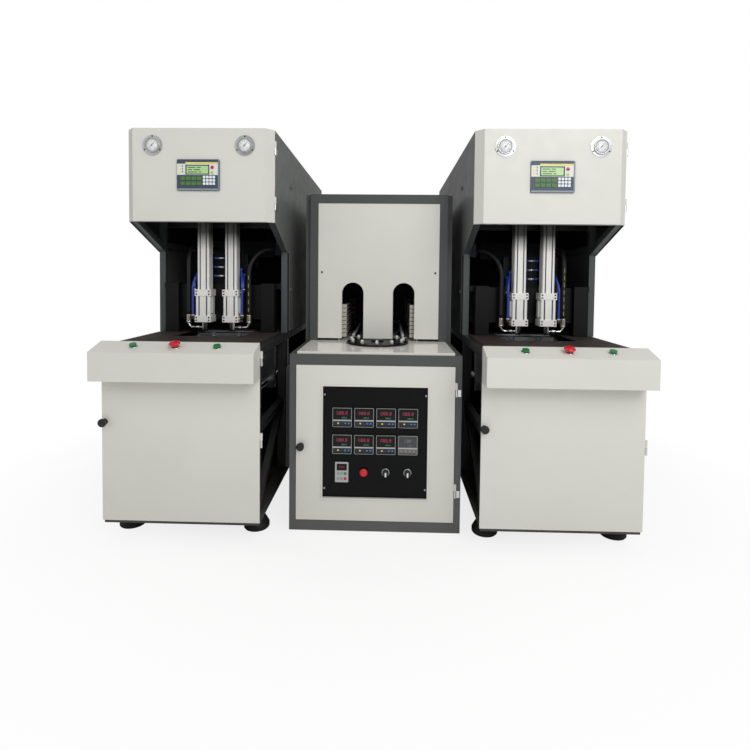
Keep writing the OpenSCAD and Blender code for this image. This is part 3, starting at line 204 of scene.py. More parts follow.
class LineColours(bpy.types.PropertyGroup):
    """Colours of the main coatings and the air tubes."""

    ivory: tint("Ivory coating", "Doors, head covers and hood panel", "D9D8D1")
    grey: tint("Grey coating", "Heater cabinet and oven hood", "4B4D4D")
    frame_black: tint("Frame paint", "Welded frames", "1F2021")
    tube_blue: tint("Air tube blue", "Polyurethane air tubes", "1E3EA6")


class LineStage(bpy.types.PropertyGroup):
    """Light of the studio."""

    sky: FloatProperty(name="Sky", description="Strength of the even light from all around", default=0.47)
    key: FloatProperty(name="Key lamp", description="Power of the large lamp above the front", default=78.0,
                       subtype="POWER")


# ---------------------------------------------------------------- finishes


class Nodes:
    """A node tree with short ways to add to it. An input is a node (its first output), an output or a value."""

    def __init__(self, tree, prefix="ShaderNode"):
        self.tree, self.prefix = tree, prefix

    def add(self, kind, inputs=(), **settings):
        """Adds one node, whose kind may leave the tree's own prefix out."""
        whole = kind if kind.startswith(("ShaderNode", "NodeGroup")) else self.prefix + kind
        made = self.tree.nodes.new(whole)
        for name, value in settings.items():
            setattr(made, name, value)
        for name, value in dict(inputs).items():
            source = value.outputs[0] if isinstance(value, bpy.types.Node) else value
            if isinstance(source, bpy.types.NodeSocket):
                self.tree.links.new(source, made.inputs[name])
            else:
                made.inputs[name].default_value = source
        return made

    def maths(self, operation, *inputs):
        """One sum on numbers."""
        return self.add("ShaderNodeMath", enumerate(inputs), operation=operation)

    def ramp(self, value, start, end, low, high):
        """Carries the range from start to end over to the range from low to high."""
        return self.add("MapRange", {"Value": value, "From Min": start, "From Max": end,
                                     "To Min": low, "To Max": high})


class Finish(Nodes):
    """A material with one Principled shader, patterned by the place on the piece."""

    def __init__(self, name, colour, metallic, roughness, **sockets):
        self.material = bpy.data.materials.new(name)
        self.material.use_nodes = True
        super().__init__(self.material.node_tree)
        self.tree.nodes.clear()
        base = from_hex(colour) if isinstance(colour, str) else tuple(colour)
        values = {"Base Color": base, "Metallic": metallic, "Roughness": roughness}
        values.update((name.replace("_", " "), value) for name, value in sockets.items())
        self.shader = self.add("BsdfPrincipled", values)
        self.output = self.add("OutputMaterial", {"Surface": self.shader})
        self.place = self.add("TexCoord").outputs["Object"]

    def put(self, socket, source):
        """Feeds a node into one of the shader's sockets."""
        self.tree.links.new(source.outputs[0], self.shader.inputs[socket])

    def noise(self, size, detail):
        """Noise with a grain of one size, or of a size along each axis."""
        sizes = size if isinstance(size, tuple) else (size,) * 3
        place = self.add("Mapping", {"Vector": self.place, "Scale": [1000 / s for s in sizes]})
        return self.add("TexNoise", {"Vector": place, "Scale": 1.0, "Detail": detail})

    def vary(self, size, amount, detail=3.0):
        """Lightens and darkens the base colour in soft patches."""
        base = tuple(self.shader.inputs["Base Color"].default_value)[:3]
        shade = self.ramp(self.noise(size, detail), 0.3, 0.7, 1 - amount, 1 + amount)
        self.put("Base Color", self.add("VectorMath", {0: shade, 1: base}, operation="MULTIPLY"))
        return self

    def roughen(self, size, low, high):
        """Lets the roughness wander between two values."""
        self.put("Roughness", self.ramp(self.noise(size, 4.0), 0.3, 0.7, low, high))
        return self

    def bump(self, height, depth, strength=0.5):
        """Raises the surface by a height between 0 and 1."""
        self.put("Normal", self.add("Bump", {"Height": height, "Strength": strength, "Distance": depth / 1000}))
        return self

    def grain(self, size, detail, depth, strength=0.5):
        """Raises the surface by a noise."""
        return self.bump(self.noise(size, detail), depth, strength)

    def along(self, axis):
        """The place along an axis, in metres."""
        return self.add("SeparateXYZ", {0: self.place}).outputs["XYZ".index(axis)]

    def where(self, axis, centre, half, fold=False):
        """1 within a half width of the centre along an axis, or of both its sides if folded, otherwise 0."""
        place = self.maths("ABSOLUTE", self.along(axis)) if fold else self.along(axis)
        return self.maths("COMPARE", place, centre / 1000, half / 1000)

    def both(self, *masks):
        """Masks multiplied together."""
        product = masks[0]
        for mask in masks[1:]:
            product = self.maths("MULTIPLY", product, mask)
        return product

    def recolour(self, mask, code):
        """Paints another colour where the mask is 1."""
        socket = self.shader.inputs["Base Color"]
        mixed = self.add("Mix", {0: mask, 6: socket.links[0].from_socket, 7: from_hex(code)}, data_type="RGBA")
        self.tree.links.new(mixed.outputs[2], socket)


def powder_coat(name, colour, roughness=0.42, floor_tint=0.0, peel=2.6, shade_rooms=False, shade_beams=False, **sockets):
    """Baked polyester powder: satin, with a fine orange peel and slightly greyer towards the floor.

    It can paint the stations' and the oven's rooms near black, and the stations' crossbeams near black: both are
    painted shade.
    """
    coat = Finish(name, colour, 0.0, roughness, **sockets).vary(420, 0.025)
    # Mixes the coat a little towards grey-beige over the lowest half metre
    if floor_tint:
        coat.recolour(coat.ramp(coat.along("Z"), 0.0, 0.5, floor_tint, 0.0), "8E8A80")
    # Painted shade: the faces inside the stations and the oven are painted near black
    if shade_rooms:
        depth = coat.where("Y", STATIONS["left"].y * 1000 + STATION_BACK / 2, STATION_BACK / 2 + 1)
        below_roof = coat.where("Z", *BELOW_ROOF_Z)
        coat.recolour(coat.both(coat.where("X", *BASE_X, True), depth, below_roof), "1B1E1D")
        coat.recolour(coat.both(coat.where("X", *HEAD_ROOM_X, True), depth, coat.where("Z", *HEAD_ROOM_Z)), "232726")
        behind = coat.where("Y", HEATER.y * 1000 + (HOOD_Y + HOOD_BACK) / 2 + 8, (HOOD_BACK - HOOD_Y) / 2 - 12)
        coat.recolour(coat.both(behind, coat.where("X", *HOOD_X), coat.where("Z", *HOOD_Z)), "1B1E1D")
    # Painted shade: the crossbeams inside the stations are painted near black
    if shade_beams:
        coat.recolour(coat.where("X", *BEAMS_X, True), "121514")
    return coat.roughen(60, roughness - 0.05, roughness + 0.06).grain(peel, 1.0, 0.03).material


def worked_metal(name, colour, roughness, grain, depth=0.02):
    """Bare metal with the fine lines its making left: drawn, milled, ground or rolled, along the longest grain."""
    metal = Finish(name, colour, 1.0, roughness).vary((90, 90, 140), 0.04)
    lines = metal.noise(grain, 2.0)
    metal.put("Roughness", metal.ramp(lines, 0.25, 0.75, roughness - 0.05, roughness + 0.05))
    return metal.bump(lines, depth, 0.4).material


def chromed(name):
    """Bright chrome plate: mirror-like, with a few softer patches from handling."""
    return Finish(name, "D9DBDC", 1.0, 0.09).roughen(14, 0.054, 0.18).vary(30, 0.03).material


def moulded(name, colour, roughness=0.4, spark=0.9, depth=0.02, **sockets):
    """Injection moulded plastic or print: even colour with the fine spark texture of its tool."""
    plastic = Finish(name, colour, 0.0, roughness, **sockets).vary(40, 0.03).grain(spark, 2.0, depth)
    return plastic.roughen(8, roughness - 0.04, roughness + 0.05).material


def rubber(name, colour="121213", roughness=0.62):
    """Black rubber or foam: dull and faintly mottled."""
    black = Finish(name, colour, 0.0, roughness, Specular_IOR_Level=0.35).vary(25, 0.15)
    return black.grain(1.6, 3.0, 0.06).roughen(12, roughness - 0.08, roughness + 0.1).material


def lit(name, colour, strength):
    """A light-emitting digit, lamp or display: even glow under a smooth face."""
    glow = Finish(name, colour, 0.0, 0.3, Emission_Strength=strength, Emission_Color=from_hex(colour))
    return glow.vary(6, 0.04).material


def slotted_profile(name, slot, half, low, high, fade=None):
    """Bright extruded cylinder body whose slots look black from painted shade, and whose top is lost in a painted
    shadow of the head.
    """
    body = Finish(name, "F6F5F1", 0.3, 0.36).vary((1.4, 1.4, 120), 0.08)
    fold = body.along("X")
    for centre in (0, STATION_X, HEAD_X):
        fold = body.maths("ABSOLUTE", body.maths("SUBTRACT", fold, centre / 1000))
    # Painted shade: the slots are painted near black where the grooves would lie in shade
    slots = body.maths("COMPARE", fold, slot / 1000, half / 1000)
    body.recolour(body.both(slots, body.where("Z", (low + high) / 2, (high - low) / 2)), "2A2B2B")
    if fade:
        body.recolour(body.ramp(body.along("Z"), fade[0] / 1000, fade[1] / 1000, 0.0, 0.9), "1C1D1D")
    return body.roughen((1.4, 1.4, 60), 0.28, 0.42).material


def nozzle_metal(name):
    """Dark polished nozzles on the machine's middle, bright chrome from the elbow pipe outwards, dull ferrules."""
    metal = Finish(name, "6A6864", 1.0, 0.16).vary((20, 20, 6), 0.06)
    for station in (-STATION_X, STATION_X):
        for offset in (-HOSE_X, HOSE_X):
            over = metal.where("X", station + offset * 0.8, 46)
            metal.recolour(over, "D4D6D7")
            metal.recolour(metal.both(over, metal.where("Z", 890, 17)), "B8AE9C")
    return metal.roughen((10, 10, 3), 0.1, 0.24).material


def oiled_plate(name):
    """Rolled mild steel under a film of oil: dark brown-grey, cloudy, streaked along the rolling."""
    steel = Finish(name, "3C3531", 0.0, 0.66, Specular_IOR_Level=0.1).vary((60, 25, 60), 0.3, 6.0)
    return steel.roughen((45, 14, 45), 0.55, 0.75).grain((30, 1.2, 30), 3.0, 0.03, 0.4).material


def clear_glass(name):
    """Thin clear glass, drawn as a coat of gloss that lets the piece behind show."""
    return Finish(name, "F2F5F4", 0.0, 0.03, Alpha=0.12, IOR=1.5).roughen(20, 0.03, 0.08).material


def make_finishes():
    """Every finish on the line, by its name."""
    own = bpy.context.scene.line_colours
    return {
        "ivory": powder_coat("ivory_powder_coat", own.ivory, 0.4, 0.12),
        "ivory_gloss": powder_coat("ivory_gloss_enamel", "E6E4DC", 0.11, 0.0, 9.0),
        "grey": powder_coat("grey_powder_coat", own.grey, 0.36, 0.1),
        "shell": powder_coat("grey_shell_coat", "646764", 0.46, 0.1, shade_rooms=True, Specular_IOR_Level=0.3),
        "hood": powder_coat("grey_hood_coat", own.grey, 0.46, 0.1, shade_rooms=True, Specular_IOR_Level=0.3),
        "post": powder_coat("grey_post_coat", "474C4D", 0.38, shade_beams=True),
        "frame": powder_coat("black_frame_paint", own.frame_black, 0.4, 0.12),
        "blackened": powder_coat("blackened_steel", "0C0D0D", 0.4, Specular_IOR_Level=0.2),
        "nozzle": nozzle_metal("polished_nozzles"),
        "stretch_profile": slotted_profile("stretch_cylinder_profile", 15, 2.7, SEAL_TOP, 1396, (1225, 1310)),
        "seal_profile": slotted_profile("sealing_cylinder_profile", 18.7, 3.2, SEAL_Z + 32, SEAL_TOP - 32),
        "chrome": chromed("bright_chrome"),
        "silver": worked_metal("silver_gauge_case", "B9BBBC", 0.35, (4, 4, 4), 0.01),
        "zinc": worked_metal("zinc_plated_steel", "B9BBBC", 0.3, (6, 6, 6)),
        "cast_aluminium": worked_metal("machined_aluminium_cap", "D2D3D2", 0.36, (2.5, 2.5, 2.5), 0.04),
        "mould": worked_metal("milled_mould_aluminium", "C4C6C8", 0.3, (40, 2.0, 2.0)),
        "steel": worked_metal("machined_steel", "8B8D90", 0.34, (3, 30, 3), 0.03),
        "dark_steel": worked_metal("polished_dark_steel", "6A6864", 0.16, (3, 3, 1.2)),
        "ground": worked_metal("ground_steel_rod", "C6C8CA", 0.14, (2, 60, 2), 0.01),
        "champagne": worked_metal("passivated_ferrule_steel", "B8AE9C", 0.26, (4, 4, 1.0)),
        "brass": worked_metal("turned_brass", "D9C489", 0.25, (4, 4, 1.0)),
        "satin_aluminium": worked_metal("polished_reflector_aluminium", "D8DADB", 0.18, (2, 50, 2), 0.01),
        "anodised": worked_metal("black_anodised_aluminium", "1B1C1E", 0.35, (2, 2, 20)),
        "bed": oiled_plate("oiled_rolled_plate"),
        "rubber": rubber("vulcanised_rubber"),
        "hose": rubber("braided_hose_rubber", "17181A", 0.5),
        "filter": rubber("black_filter_foam", "0C0C0D", 0.9),
        "rail": moulded("light_grey_rail", "B9BAB6"),
        "ring_print": moulded("grey_screen_print", "8F9498", 0.45),
        "needle": moulded("grey_pointer", "6E7377"),
        "outline": moulded("light_grey_bezel", "A9ACAC"),
        "face_black": moulded("regulator_face", "0D0D0F", 0.25, 3.0, 0.004, Specular_IOR_Level=0.25),
        "face_grey": moulded("idle_regulator_face", "3C3E40", 0.3, 3.0, 0.004),
        "strip_blue": moulded("key_strip", "1A1F2B", 0.35),
        "strip_grey": moulded("idle_key_strip", "6A6260"),
        "idle_digits": moulded("idle_digits", "6B6F72"),
        "black_abs": moulded("black_abs", "151617", 0.36),
        "panel_black": moulded("black_printed_panel", "08090A", 0.38, 1.5, 0.008, Specular_IOR_Level=0.15),
        "slate_abs": moulded("slate_abs", "36475A", 0.42),
        "pale_slate": moulded("pale_slate_abs", "8A949C", 0.45),
        "green_cap": moulded("green_polycarbonate_cap", "1D7A3C", 0.22, 2.0, 0.01),
        "red_cap": moulded("red_polycarbonate_cap", "C8202B", 0.22, 2.0, 0.01),
        "blue_tube": moulded("blue_polyurethane", own.tube_blue, 0.3, 3.0, 0.01, Coat_Weight=0.3),
        "white_print": moulded("white_screen_print", "DDE0DF", 0.5),
        "yellow_print": moulded("yellow_screen_print", "E6DB62", 0.5),
        "black_print": moulded("black_screen_print", "1B1B1B", 0.5),
        "green_key": moulded("green_silicone_key", "4E7A34", 0.5),
        "white_key": moulded("white_silicone_key", "E6EBF0", 0.5),
        "lime_lamp": moulded("lime_indicator", "B5C94A", 0.3),
        "display_ink": moulded("display_segments", "3C5A32"),
        "dial": moulded("white_dial_enamel", "EEF0F0", 0.3, 5.0, 0.004),
        "teal": moulded("teal_polycarbonate", "2E8F8C", 0.2, 3.0, 0.01),
        "sealing": moulded("white_ceramic_end", "B8B5AC", 0.5),
        "hose_print": moulded("worn_yellow_print", "A89E48", 0.55),
        "nylon": moulded("white_nylon", "C9CAC5", 0.45),
        "dim_red": lit("dim_red_digits", "8B2A44", 0.22),
        "dim_green": lit("dim_green_digits", "2A7A5C", 0.25),
        "display": lit("green_display", "9DBF86", 0.25),
        "blue_lamp": lit("blue_lamp", "3678BE", 0.15),
        "lens": clear_glass("gauge_glass"),
    }


# ---------------------------------------------------------------- meshes


def piece(name, body, mesh, finishes, origin):
    """Turns a bmesh in a cabinet's millimetres into a piece that rides on a body."""
    mesh.transform(Matrix.Translation(origin) @ Matrix.Scale(0.001, 4))
    data = bpy.data.meshes.new(name)
    mesh.to_mesh(data)
    mesh.free()
    return adopt(name, body, data, finishes)


def dress(prefix, body, origin, **meshes):
    """Makes one piece of each named mesh and its finishes."""
    for name, (mesh, finishes) in meshes.items():
        piece(prefix + name, body, mesh, finishes, origin)


def adopt(name, body, data, finishes):
    """Puts a finished mesh into the scene and on its body, if it has one of its own."""
    if data.materials:
        data.materials.clear()
    for key in finishes.split():
        data.materials.append(FINISHES[key])
    made = bpy.data.objects.new(name, data)
    bpy.context.scene.collection.objects.link(made)
    if body:
        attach(made, body)
    return made


def blanks(count):
    """Empty meshes to build in."""
    return [bmesh.new() for _ in range(count)]


def block(mesh, low, high, soft=0.0, finish=0):
    """A box with its edges rounded by the given radius."""
    low, high = Vector(low), Vector(high)
    shape = Matrix.Translation((low + high) / 2) @ Matrix.Diagonal((*(high - low), 1))
    made = bmesh.ops.create_cube(mesh, size=1.0, matrix=shape)["verts"]
    faces = {face for vert in made for face in vert.link_faces}
    if soft:
        edges = list({edge for face in faces for edge in face.edges})
        cut = bmesh.ops.bevel(mesh, geom=edges, offset=soft, segments=2, affect="EDGES", profile=0.5)
        faces = set(cut["faces"]) | {face for face in faces if face.is_valid}
    for face in faces:
        face.material_index = finish


def frame_towards(direction):
    """A turn that takes +Z to a direction."""
    return Vector(direction).to_track_quat("Z", "Y").to_matrix().to_4x4()


def circle(steps):
    """Angles round a full turn."""
    return [2 * pi * i / steps for i in range(steps)]


def skin(mesh, rings, steps, finish=0):
    """Smooth faces from ring to ring. A ring of one point closes that end."""
    for lower, upper in zip(rings, rings[1:]):
        for i in range(steps):
            j = (i + 1) % steps
            around = [ring[k % len(ring)] for ring, k in ((lower, i), (lower, j), (upper, j), (upper, i))]
            corners = list(dict.fromkeys(around))
            if len(corners) > 2:
                made = mesh.faces.new(corners)
                made.material_index, made.smooth = finish, True


def lathe(mesh, profile, place, direction, steps, finish=0):
    """Turns a profile of (radius, height) about an axis. A radius of 0 closes the end."""
    turn = Matrix.Translation(place) @ frame_towards(direction)
    rings = []
    for radius, height in profile:
        angles = circle(steps) if radius else [0]
        spokes = [Vector((radius * cos(a), radius * sin(a), height)) for a in angles]
        rings.append([mesh.verts.new(turn @ spoke) for spoke in spokes])
    skin(mesh, rings, steps, finish)


def rod(mesh, radius, low, high, place, direction, steps):
    """A closed cylinder between two heights on its axis."""
    lathe(mesh, [(0, low), (radius, low), (radius, high), (0, high)], place, direction, steps)


def ring(mesh, profile, place, direction, steps, finish=0):
    """Turns a profile that closes on itself."""
    lathe(mesh, [*profile, profile[0]], place, direction, steps, finish)


def weld(mesh):
    """Joins the seams of turned rings and turns every face outwards."""
    bmesh.ops.remove_doubles(mesh, verts=mesh.verts, dist=0.001)
    bmesh.ops.recalc_face_normals(mesh, faces=mesh.faces)


def plate(mesh, centre, width, height, radius, thick, finish=0):
    """A plate with round corners that stands out to the front from the centre's plane."""
    x, y, z = centre
    outline = []
    for sx, sz, start in ((1, 1, 0), (-1, 1, 90), (-1, -1, 180), (1, -1, 270)):
        for i in range(6):
            a = radians(start + 18 * i)
            across, up = sx * (width / 2 - radius), sz * (height / 2 - radius)
            outline.append((x + across + radius * cos(a), z + up + radius * sin(a)))
    front, back = ([mesh.verts.new((px, py, pz)) for px, pz in outline] for py in (y - thick, y))
    faces = [mesh.faces.new(front), mesh.faces.new(back[::-1])]
    for i in range(len(outline)):
        j = (i + 1) % len(outline)
        faces.append(mesh.faces.new((back[i], back[j], front[j], front[i])))
    for face in faces:
        face.material_index = finish


def pipe(mesh, path, radius, sides):
    """A round closed bar along points, with its turn carried along so that it does not twist."""
    points = [Vector(p) for p in path]
    rings, side = [], None
    for i, point in enumerate(points):
        ahead = (points[min(i + 1, len(points) - 1)] - points[max(i - 1, 0)]).normalized()
        side = ahead.orthogonal() if side is None else side - ahead * side.dot(ahead)
        side.normalize()
        other = ahead.cross(side)
        spokes = [cos(a) * side + sin(a) * other for a in circle(sides)]
        rings.append([mesh.verts.new(point + radius * spoke) for spoke in spokes])
    skin(mesh, rings, sides)
    mesh.faces.new(rings[0][::-1])
    mesh.faces.new(rings[-1])


def bend(centre, start, upright, radius, steps=12):
    """Points of a quarter turn that leaves start along upright, about a centre."""
    away = (Vector(centre) - Vector(start)).normalized()
    turns = [pi / 2 * i / steps for i in range(steps + 1)]
    return [Vector(centre) - away * radius * cos(a) + Vector(upright) * radius * sin(a) for a in turns]


def screws(name, body, places, radius, height, origin, finish="zinc", sides=16):
    """Screw heads with a cross recess that face the front."""
    mesh = bmesh.new()
    head = [(1, 0), (1, 0.5), (0.82, 0.85), (0.45, 1), (0.42, 0.55), (0, 0.5)]
    for place in places:
        lathe(mesh, [(radius * r, height * h) for r, h in head], place, FRONT, sides)
        for angle in (0, pi / 2):
            spin = Matrix.Translation(place) @ frame_towards(FRONT) @ Matrix.Rotation(angle, 4, "Z")
            bar = Matrix.Diagonal((radius * 0.8, radius * 0.16, height * 0.3, 1))
            bmesh.ops.create_cube(mesh, size=1.0, matrix=spin @ Matrix.Translation((0, 0, height * 0.7)) @ bar)
    return piece(name, body, mesh, finish, origin)


def plain_mesh(holder):
    """An object's mesh as its modifiers leave it. The object itself goes."""
    bpy.context.scene.collection.objects.link(holder)
    bpy.context.view_layer.update()
    data = bpy.data.meshes.new_from_object(holder.evaluated_get(bpy.context.evaluated_depsgraph_get()))
    bpy.data.objects.remove(holder)
    return data


def words(mesh, text, size, place):
    """Adds digits as flat raised print that faces the front."""
    curve = bpy.data.curves.new("digits", "FONT")
    curve.body, curve.size, curve.extrude, curve.resolution_u = text, size, 0.1, 2
    curve.align_x, curve.align_y = "CENTER", "CENTER"
    data = plain_mesh(bpy.data.objects.new("digits", curve))
    data.transform(Matrix.Translation(place) @ Matrix.Rotation(pi / 2, 4, "X"))
    mesh.from_mesh(data)


# ---------------------------------------------------------------- geometry nodes


class Growth(Nodes):
    """A geometry tree with named inputs besides its geometry and its material."""

    def __init__(self, name, **sockets):
        super().__init__(bpy.data.node_groups.new(name, "GeometryNodeTree"), "GeometryNode")
        self.socket("Geometry", "OUTPUT", "Geometry")
        for kind, titles in {"Geometry": ["Geometry"], **sockets, "Material": ["Material"]}.items():
            for title in titles:
                self.socket(title, "INPUT", kind)
        self.given = self.add("NodeGroupInput").outputs

    def socket(self, title, way, kind):
        """Adds a socket to the outside of the tree."""
        self.tree.interface.new_socket(title, in_out=way, socket_type="NodeSocket" + kind)

    def close(self, geometry):
        """Ends the tree in plain geometry with its material."""
        plain = self.add("RealizeInstances", {0: geometry})
        coloured = self.add("SetMaterial", {0: plain, "Material": self.given["Material"]})
        self.add("NodeGroupOutput", {0: coloured})
        return self.tree


@cache
def grid_tree():
    """A grid of round-cornered keys that stand out to the front, from the pitch and the number across and up."""
    grow = Growth("key_grid", Int=["Across", "Up"], Float=KEY_SPANS, Vector=["Place"])
    given = grow.given
    outline = grow.add("CurvePrimitiveQuadrilateral", {"Width": given["Width"], "Height": given["Height"]})
    rounding = {0: outline, "Radius": given["Corner"], "Count": 4, "Limit Radius": True}
    face = grow.add("FillCurve", {0: grow.add("FilletCurve", rounding, mode="POLY")}, mode="NGONS")
    risen = grow.add("ExtrudeMesh", {0: face, "Offset Scale": given["Thick"]})
    shell = grow.add("JoinGeometry", {0: risen})
    grow.tree.links.new(grow.add("FlipFaces", {0: face}).outputs[0], shell.inputs[0])
    closed = grow.add("MergeByDistance", {0: shell, "Distance": 0.00001})
    grid = grow.add("Transform", {0: closed, "Rotation": (pi / 2, 0, 0)})
    for number, pitch, axis in (("Across", "Pitch X", 0), ("Up", "Pitch Z", 2)):
        step = grow.add("ShaderNodeCombineXYZ", {axis: given[pitch]})
        line = grow.add("MeshLine", {"Count": given[number], "Offset": step})
        grid = grow.add("InstanceOnPoints", {"Points": line, "Instance": grid})
    return grow.close(grow.add("Transform", {0: grid, "Translation": given["Place"]}))


@cache
def dial_tree():
    """Marks round a dial, over part of a circle, each a thin bar that points at the middle."""
    grow = Growth("dial_marks", Int=["Count"], Float=["Radius", "Sweep"], Vector=["Mark", "Place"])
    given, maths = grow.given, grow.maths
    share = maths("DIVIDE", grow.add("InputIndex"), maths("SUBTRACT", given["Count"], 1.0))
    angle = maths("MULTIPLY", maths("SUBTRACT", share, 0.5), given["Sweep"])
    x, z = (maths("MULTIPLY", maths(kind, angle), given["Radius"]) for kind in ("SINE", "COSINE"))
    place = grow.add("ShaderNodeCombineXYZ", {0: x, 2: z})
    line = grow.add("MeshLine", {"Count": given["Count"], "Offset": (0, 0, 0)})
    points = grow.add("SetPosition", {0: line, "Position": place})
    mark = grow.add("MeshCube", {"Size": given["Mark"]})
    turn = grow.add("ShaderNodeCombineXYZ", {1: angle})
    marks = grow.add("InstanceOnPoints", {"Points": points, "Instance": mark, "Rotation": turn})
    return grow.close(grow.add("Transform", {0: marks, "Translation": given["Place"]}))


@cache
def dash_tree():
    """Short thin bars along a path, a given step apart, as printed on a hose."""
    grow = Growth("dashes_on_path", Float=["Step"], Vector=["Dash"])
    curve = grow.add("MeshToCurve", {0: grow.given[0]})
    even = grow.add("CurveToPoints", {0: curve, "Length": grow.given["Step"]}, mode="LENGTH")
    dash = grow.add("MeshCube", {"Size": grow.given["Dash"]})
    along = {"Points": even, "Instance": dash, "Rotation": even.outputs["Rotation"]}
    return grow.close(grow.add("InstanceOnPoints", along))


def grown(name, body, tree, inputs, finish, seed=None):
    """Runs a geometry tree once and keeps the result as a plain mesh piece on a body."""
    holder = bpy.data.objects.new(name + "_seed", seed or bpy.data.meshes.new(name + "_seed"))
    modifier = holder.modifiers.new("Grow", "NODES")
    modifier.node_group = tree
    sockets = {item.name: item.identifier for item in tree.interface.items_tree if item.in_out == "INPUT"}
    for title, value in {**inputs, "Material": FINISHES[finish]}.items():
        modifier[sockets[title]] = value
    data = plain_mesh(holder)
    data.name = name
    return adopt(name, body, data, finish)


def path_seed(points, origin):
    """A line of edges in a cabinet's millimetres, for a geometry tree to follow."""
    data = bpy.data.meshes.new("path")
    data.from_pydata([origin + Vector(p) / 1000 for p in points], [(i, i + 1) for i in range(len(points) - 1)], [])
    return data


# ---------------------------------------------------------------- operators


class StationStep:
    """A step that dresses both stations alike."""

    def execute(self, context):
        for side, origin in STATIONS.items():
            self.station(context.scene.line_sizes, side, origin)
        return {"FINISHED"}


class LINE_OT_studio(bpy.types.Operator):
    """Camera of the photograph, pale floor and even light"""

    bl_idname = "line.studio"
    bl_label = "Studio"

    def execute(self, context):
        settings, objects = context.scene.line_stage, context.scene.collection.objects
        camera = bpy.data.objects.new("camera", bpy.data.cameras.new("camera"))
        objects.link(camera)
        context.scene.camera = camera
        yaw, pitch, roll = CAMERA_TURNS
        turn = Matrix.Rotation(-yaw, 4, "Z") @ Matrix.Rotation(pi / 2 - pitch, 4, "X") @ Matrix.Rotation(roll, 4, "Z")
        camera.matrix_world = Matrix.Translation(CAMERA_PLACE) @ turn
        camera.data.sensor_width, camera.data.lens = 36.0, 24.0
        camera.data.shift_y = (AXIS_ROW - PHOTO_ROWS / 2) / PHOTO_ROWS
        camera.data.clip_start, camera.data.clip_end = 0.05, 200

        data = bpy.data.meshes.new("floor")
        data.from_pydata([(x, y, 0) for y in (-30, 30) for x in (-30, 30)], [], [(0, 1, 3, 2)])
        floor = bpy.data.objects.new("floor", data)
        objects.link(floor)
        floor.location.z = -0.0005
        data.materials.append(self.floor_finish())
        self.light_world(context.scene, settings.sky)
        for name, (place, size, share) in LAMPS.items():
            lamp = bpy.data.objects.new(name, bpy.data.lights.new(name, "AREA"))
            lamp.data.energy, lamp.data.size, lamp.location = settings.key * share, size, place
            lamp.rotation_mode = "QUATERNION"
            lamp.rotation_quaternion = (LAMP_AIM - Vector(place)).to_track_quat("-Z", "Y")
            objects.link(lamp)
        context.scene.view_settings.view_transform = "Standard"
        return {"FINISHED"}

    @staticmethod
    def floor_finish():
        """White to the camera, fading out from the cabinets, with the contact shadow let through faintly."""
        coat = Finish("studio_floor", "F4F4F2", 0.0, 0.7).vary(900, 0.01)
        away = coat.add("VectorMath", {0: coat.place}, operation="LENGTH").outputs["Value"]
        seen = coat.add("LightPath").outputs["Is Camera Ray"]
        share = coat.maths("MULTIPLY", coat.ramp(away, 0.9, 2.2, 0.8, 1.0), seen)
        white = coat.add("Emission", {"Color": (1, 1, 1, 1), "Strength": 1.0})
        mixed = coat.add("MixShader", {0: share, 1: coat.shader, 2: white})
        coat.tree.links.new(mixed.outputs[0], coat.output.inputs["Surface"])
        return coat.material

    @staticmethod
    def light_world(scene, strength):
        """Even white light of the given strength, which the camera sees as plain white."""
        scene.world = bpy.data.worlds.new("studio")
        scene.world.use_nodes = True
        sky = Nodes(scene.world.node_tree)
        sky.tree.nodes.clear()
        path = sky.add("LightPath").outputs
        seen = sky.maths("MAXIMUM", path["Is Camera Ray"], path["Is Transmission Ray"])
        amount = sky.ramp(seen, 0.0, 1.0, strength, 1.0)
        sky.add("OutputWorld", {"Surface": sky.add("Background", {"Strength": amount, "Color": (1, 1, 1, 1)})})


class LINE_OT_coat_solids(bpy.types.Operator):
    """Gives every solid of the frame its own finish"""

    bl_idname = "line.coat_solids"
    bl_label = "Coat the solids"

    def execute(self, context):
        FINISHES.update(make_finishes())
        for name, solid in NODES.items():
            key = max((k for k in FINISH_OF if name.endswith(k)), key=len)
            solid.data.materials.clear()
            solid.data.materials.append(FINISHES[FINISH_OF[key]])
        return {"FINISHED"}


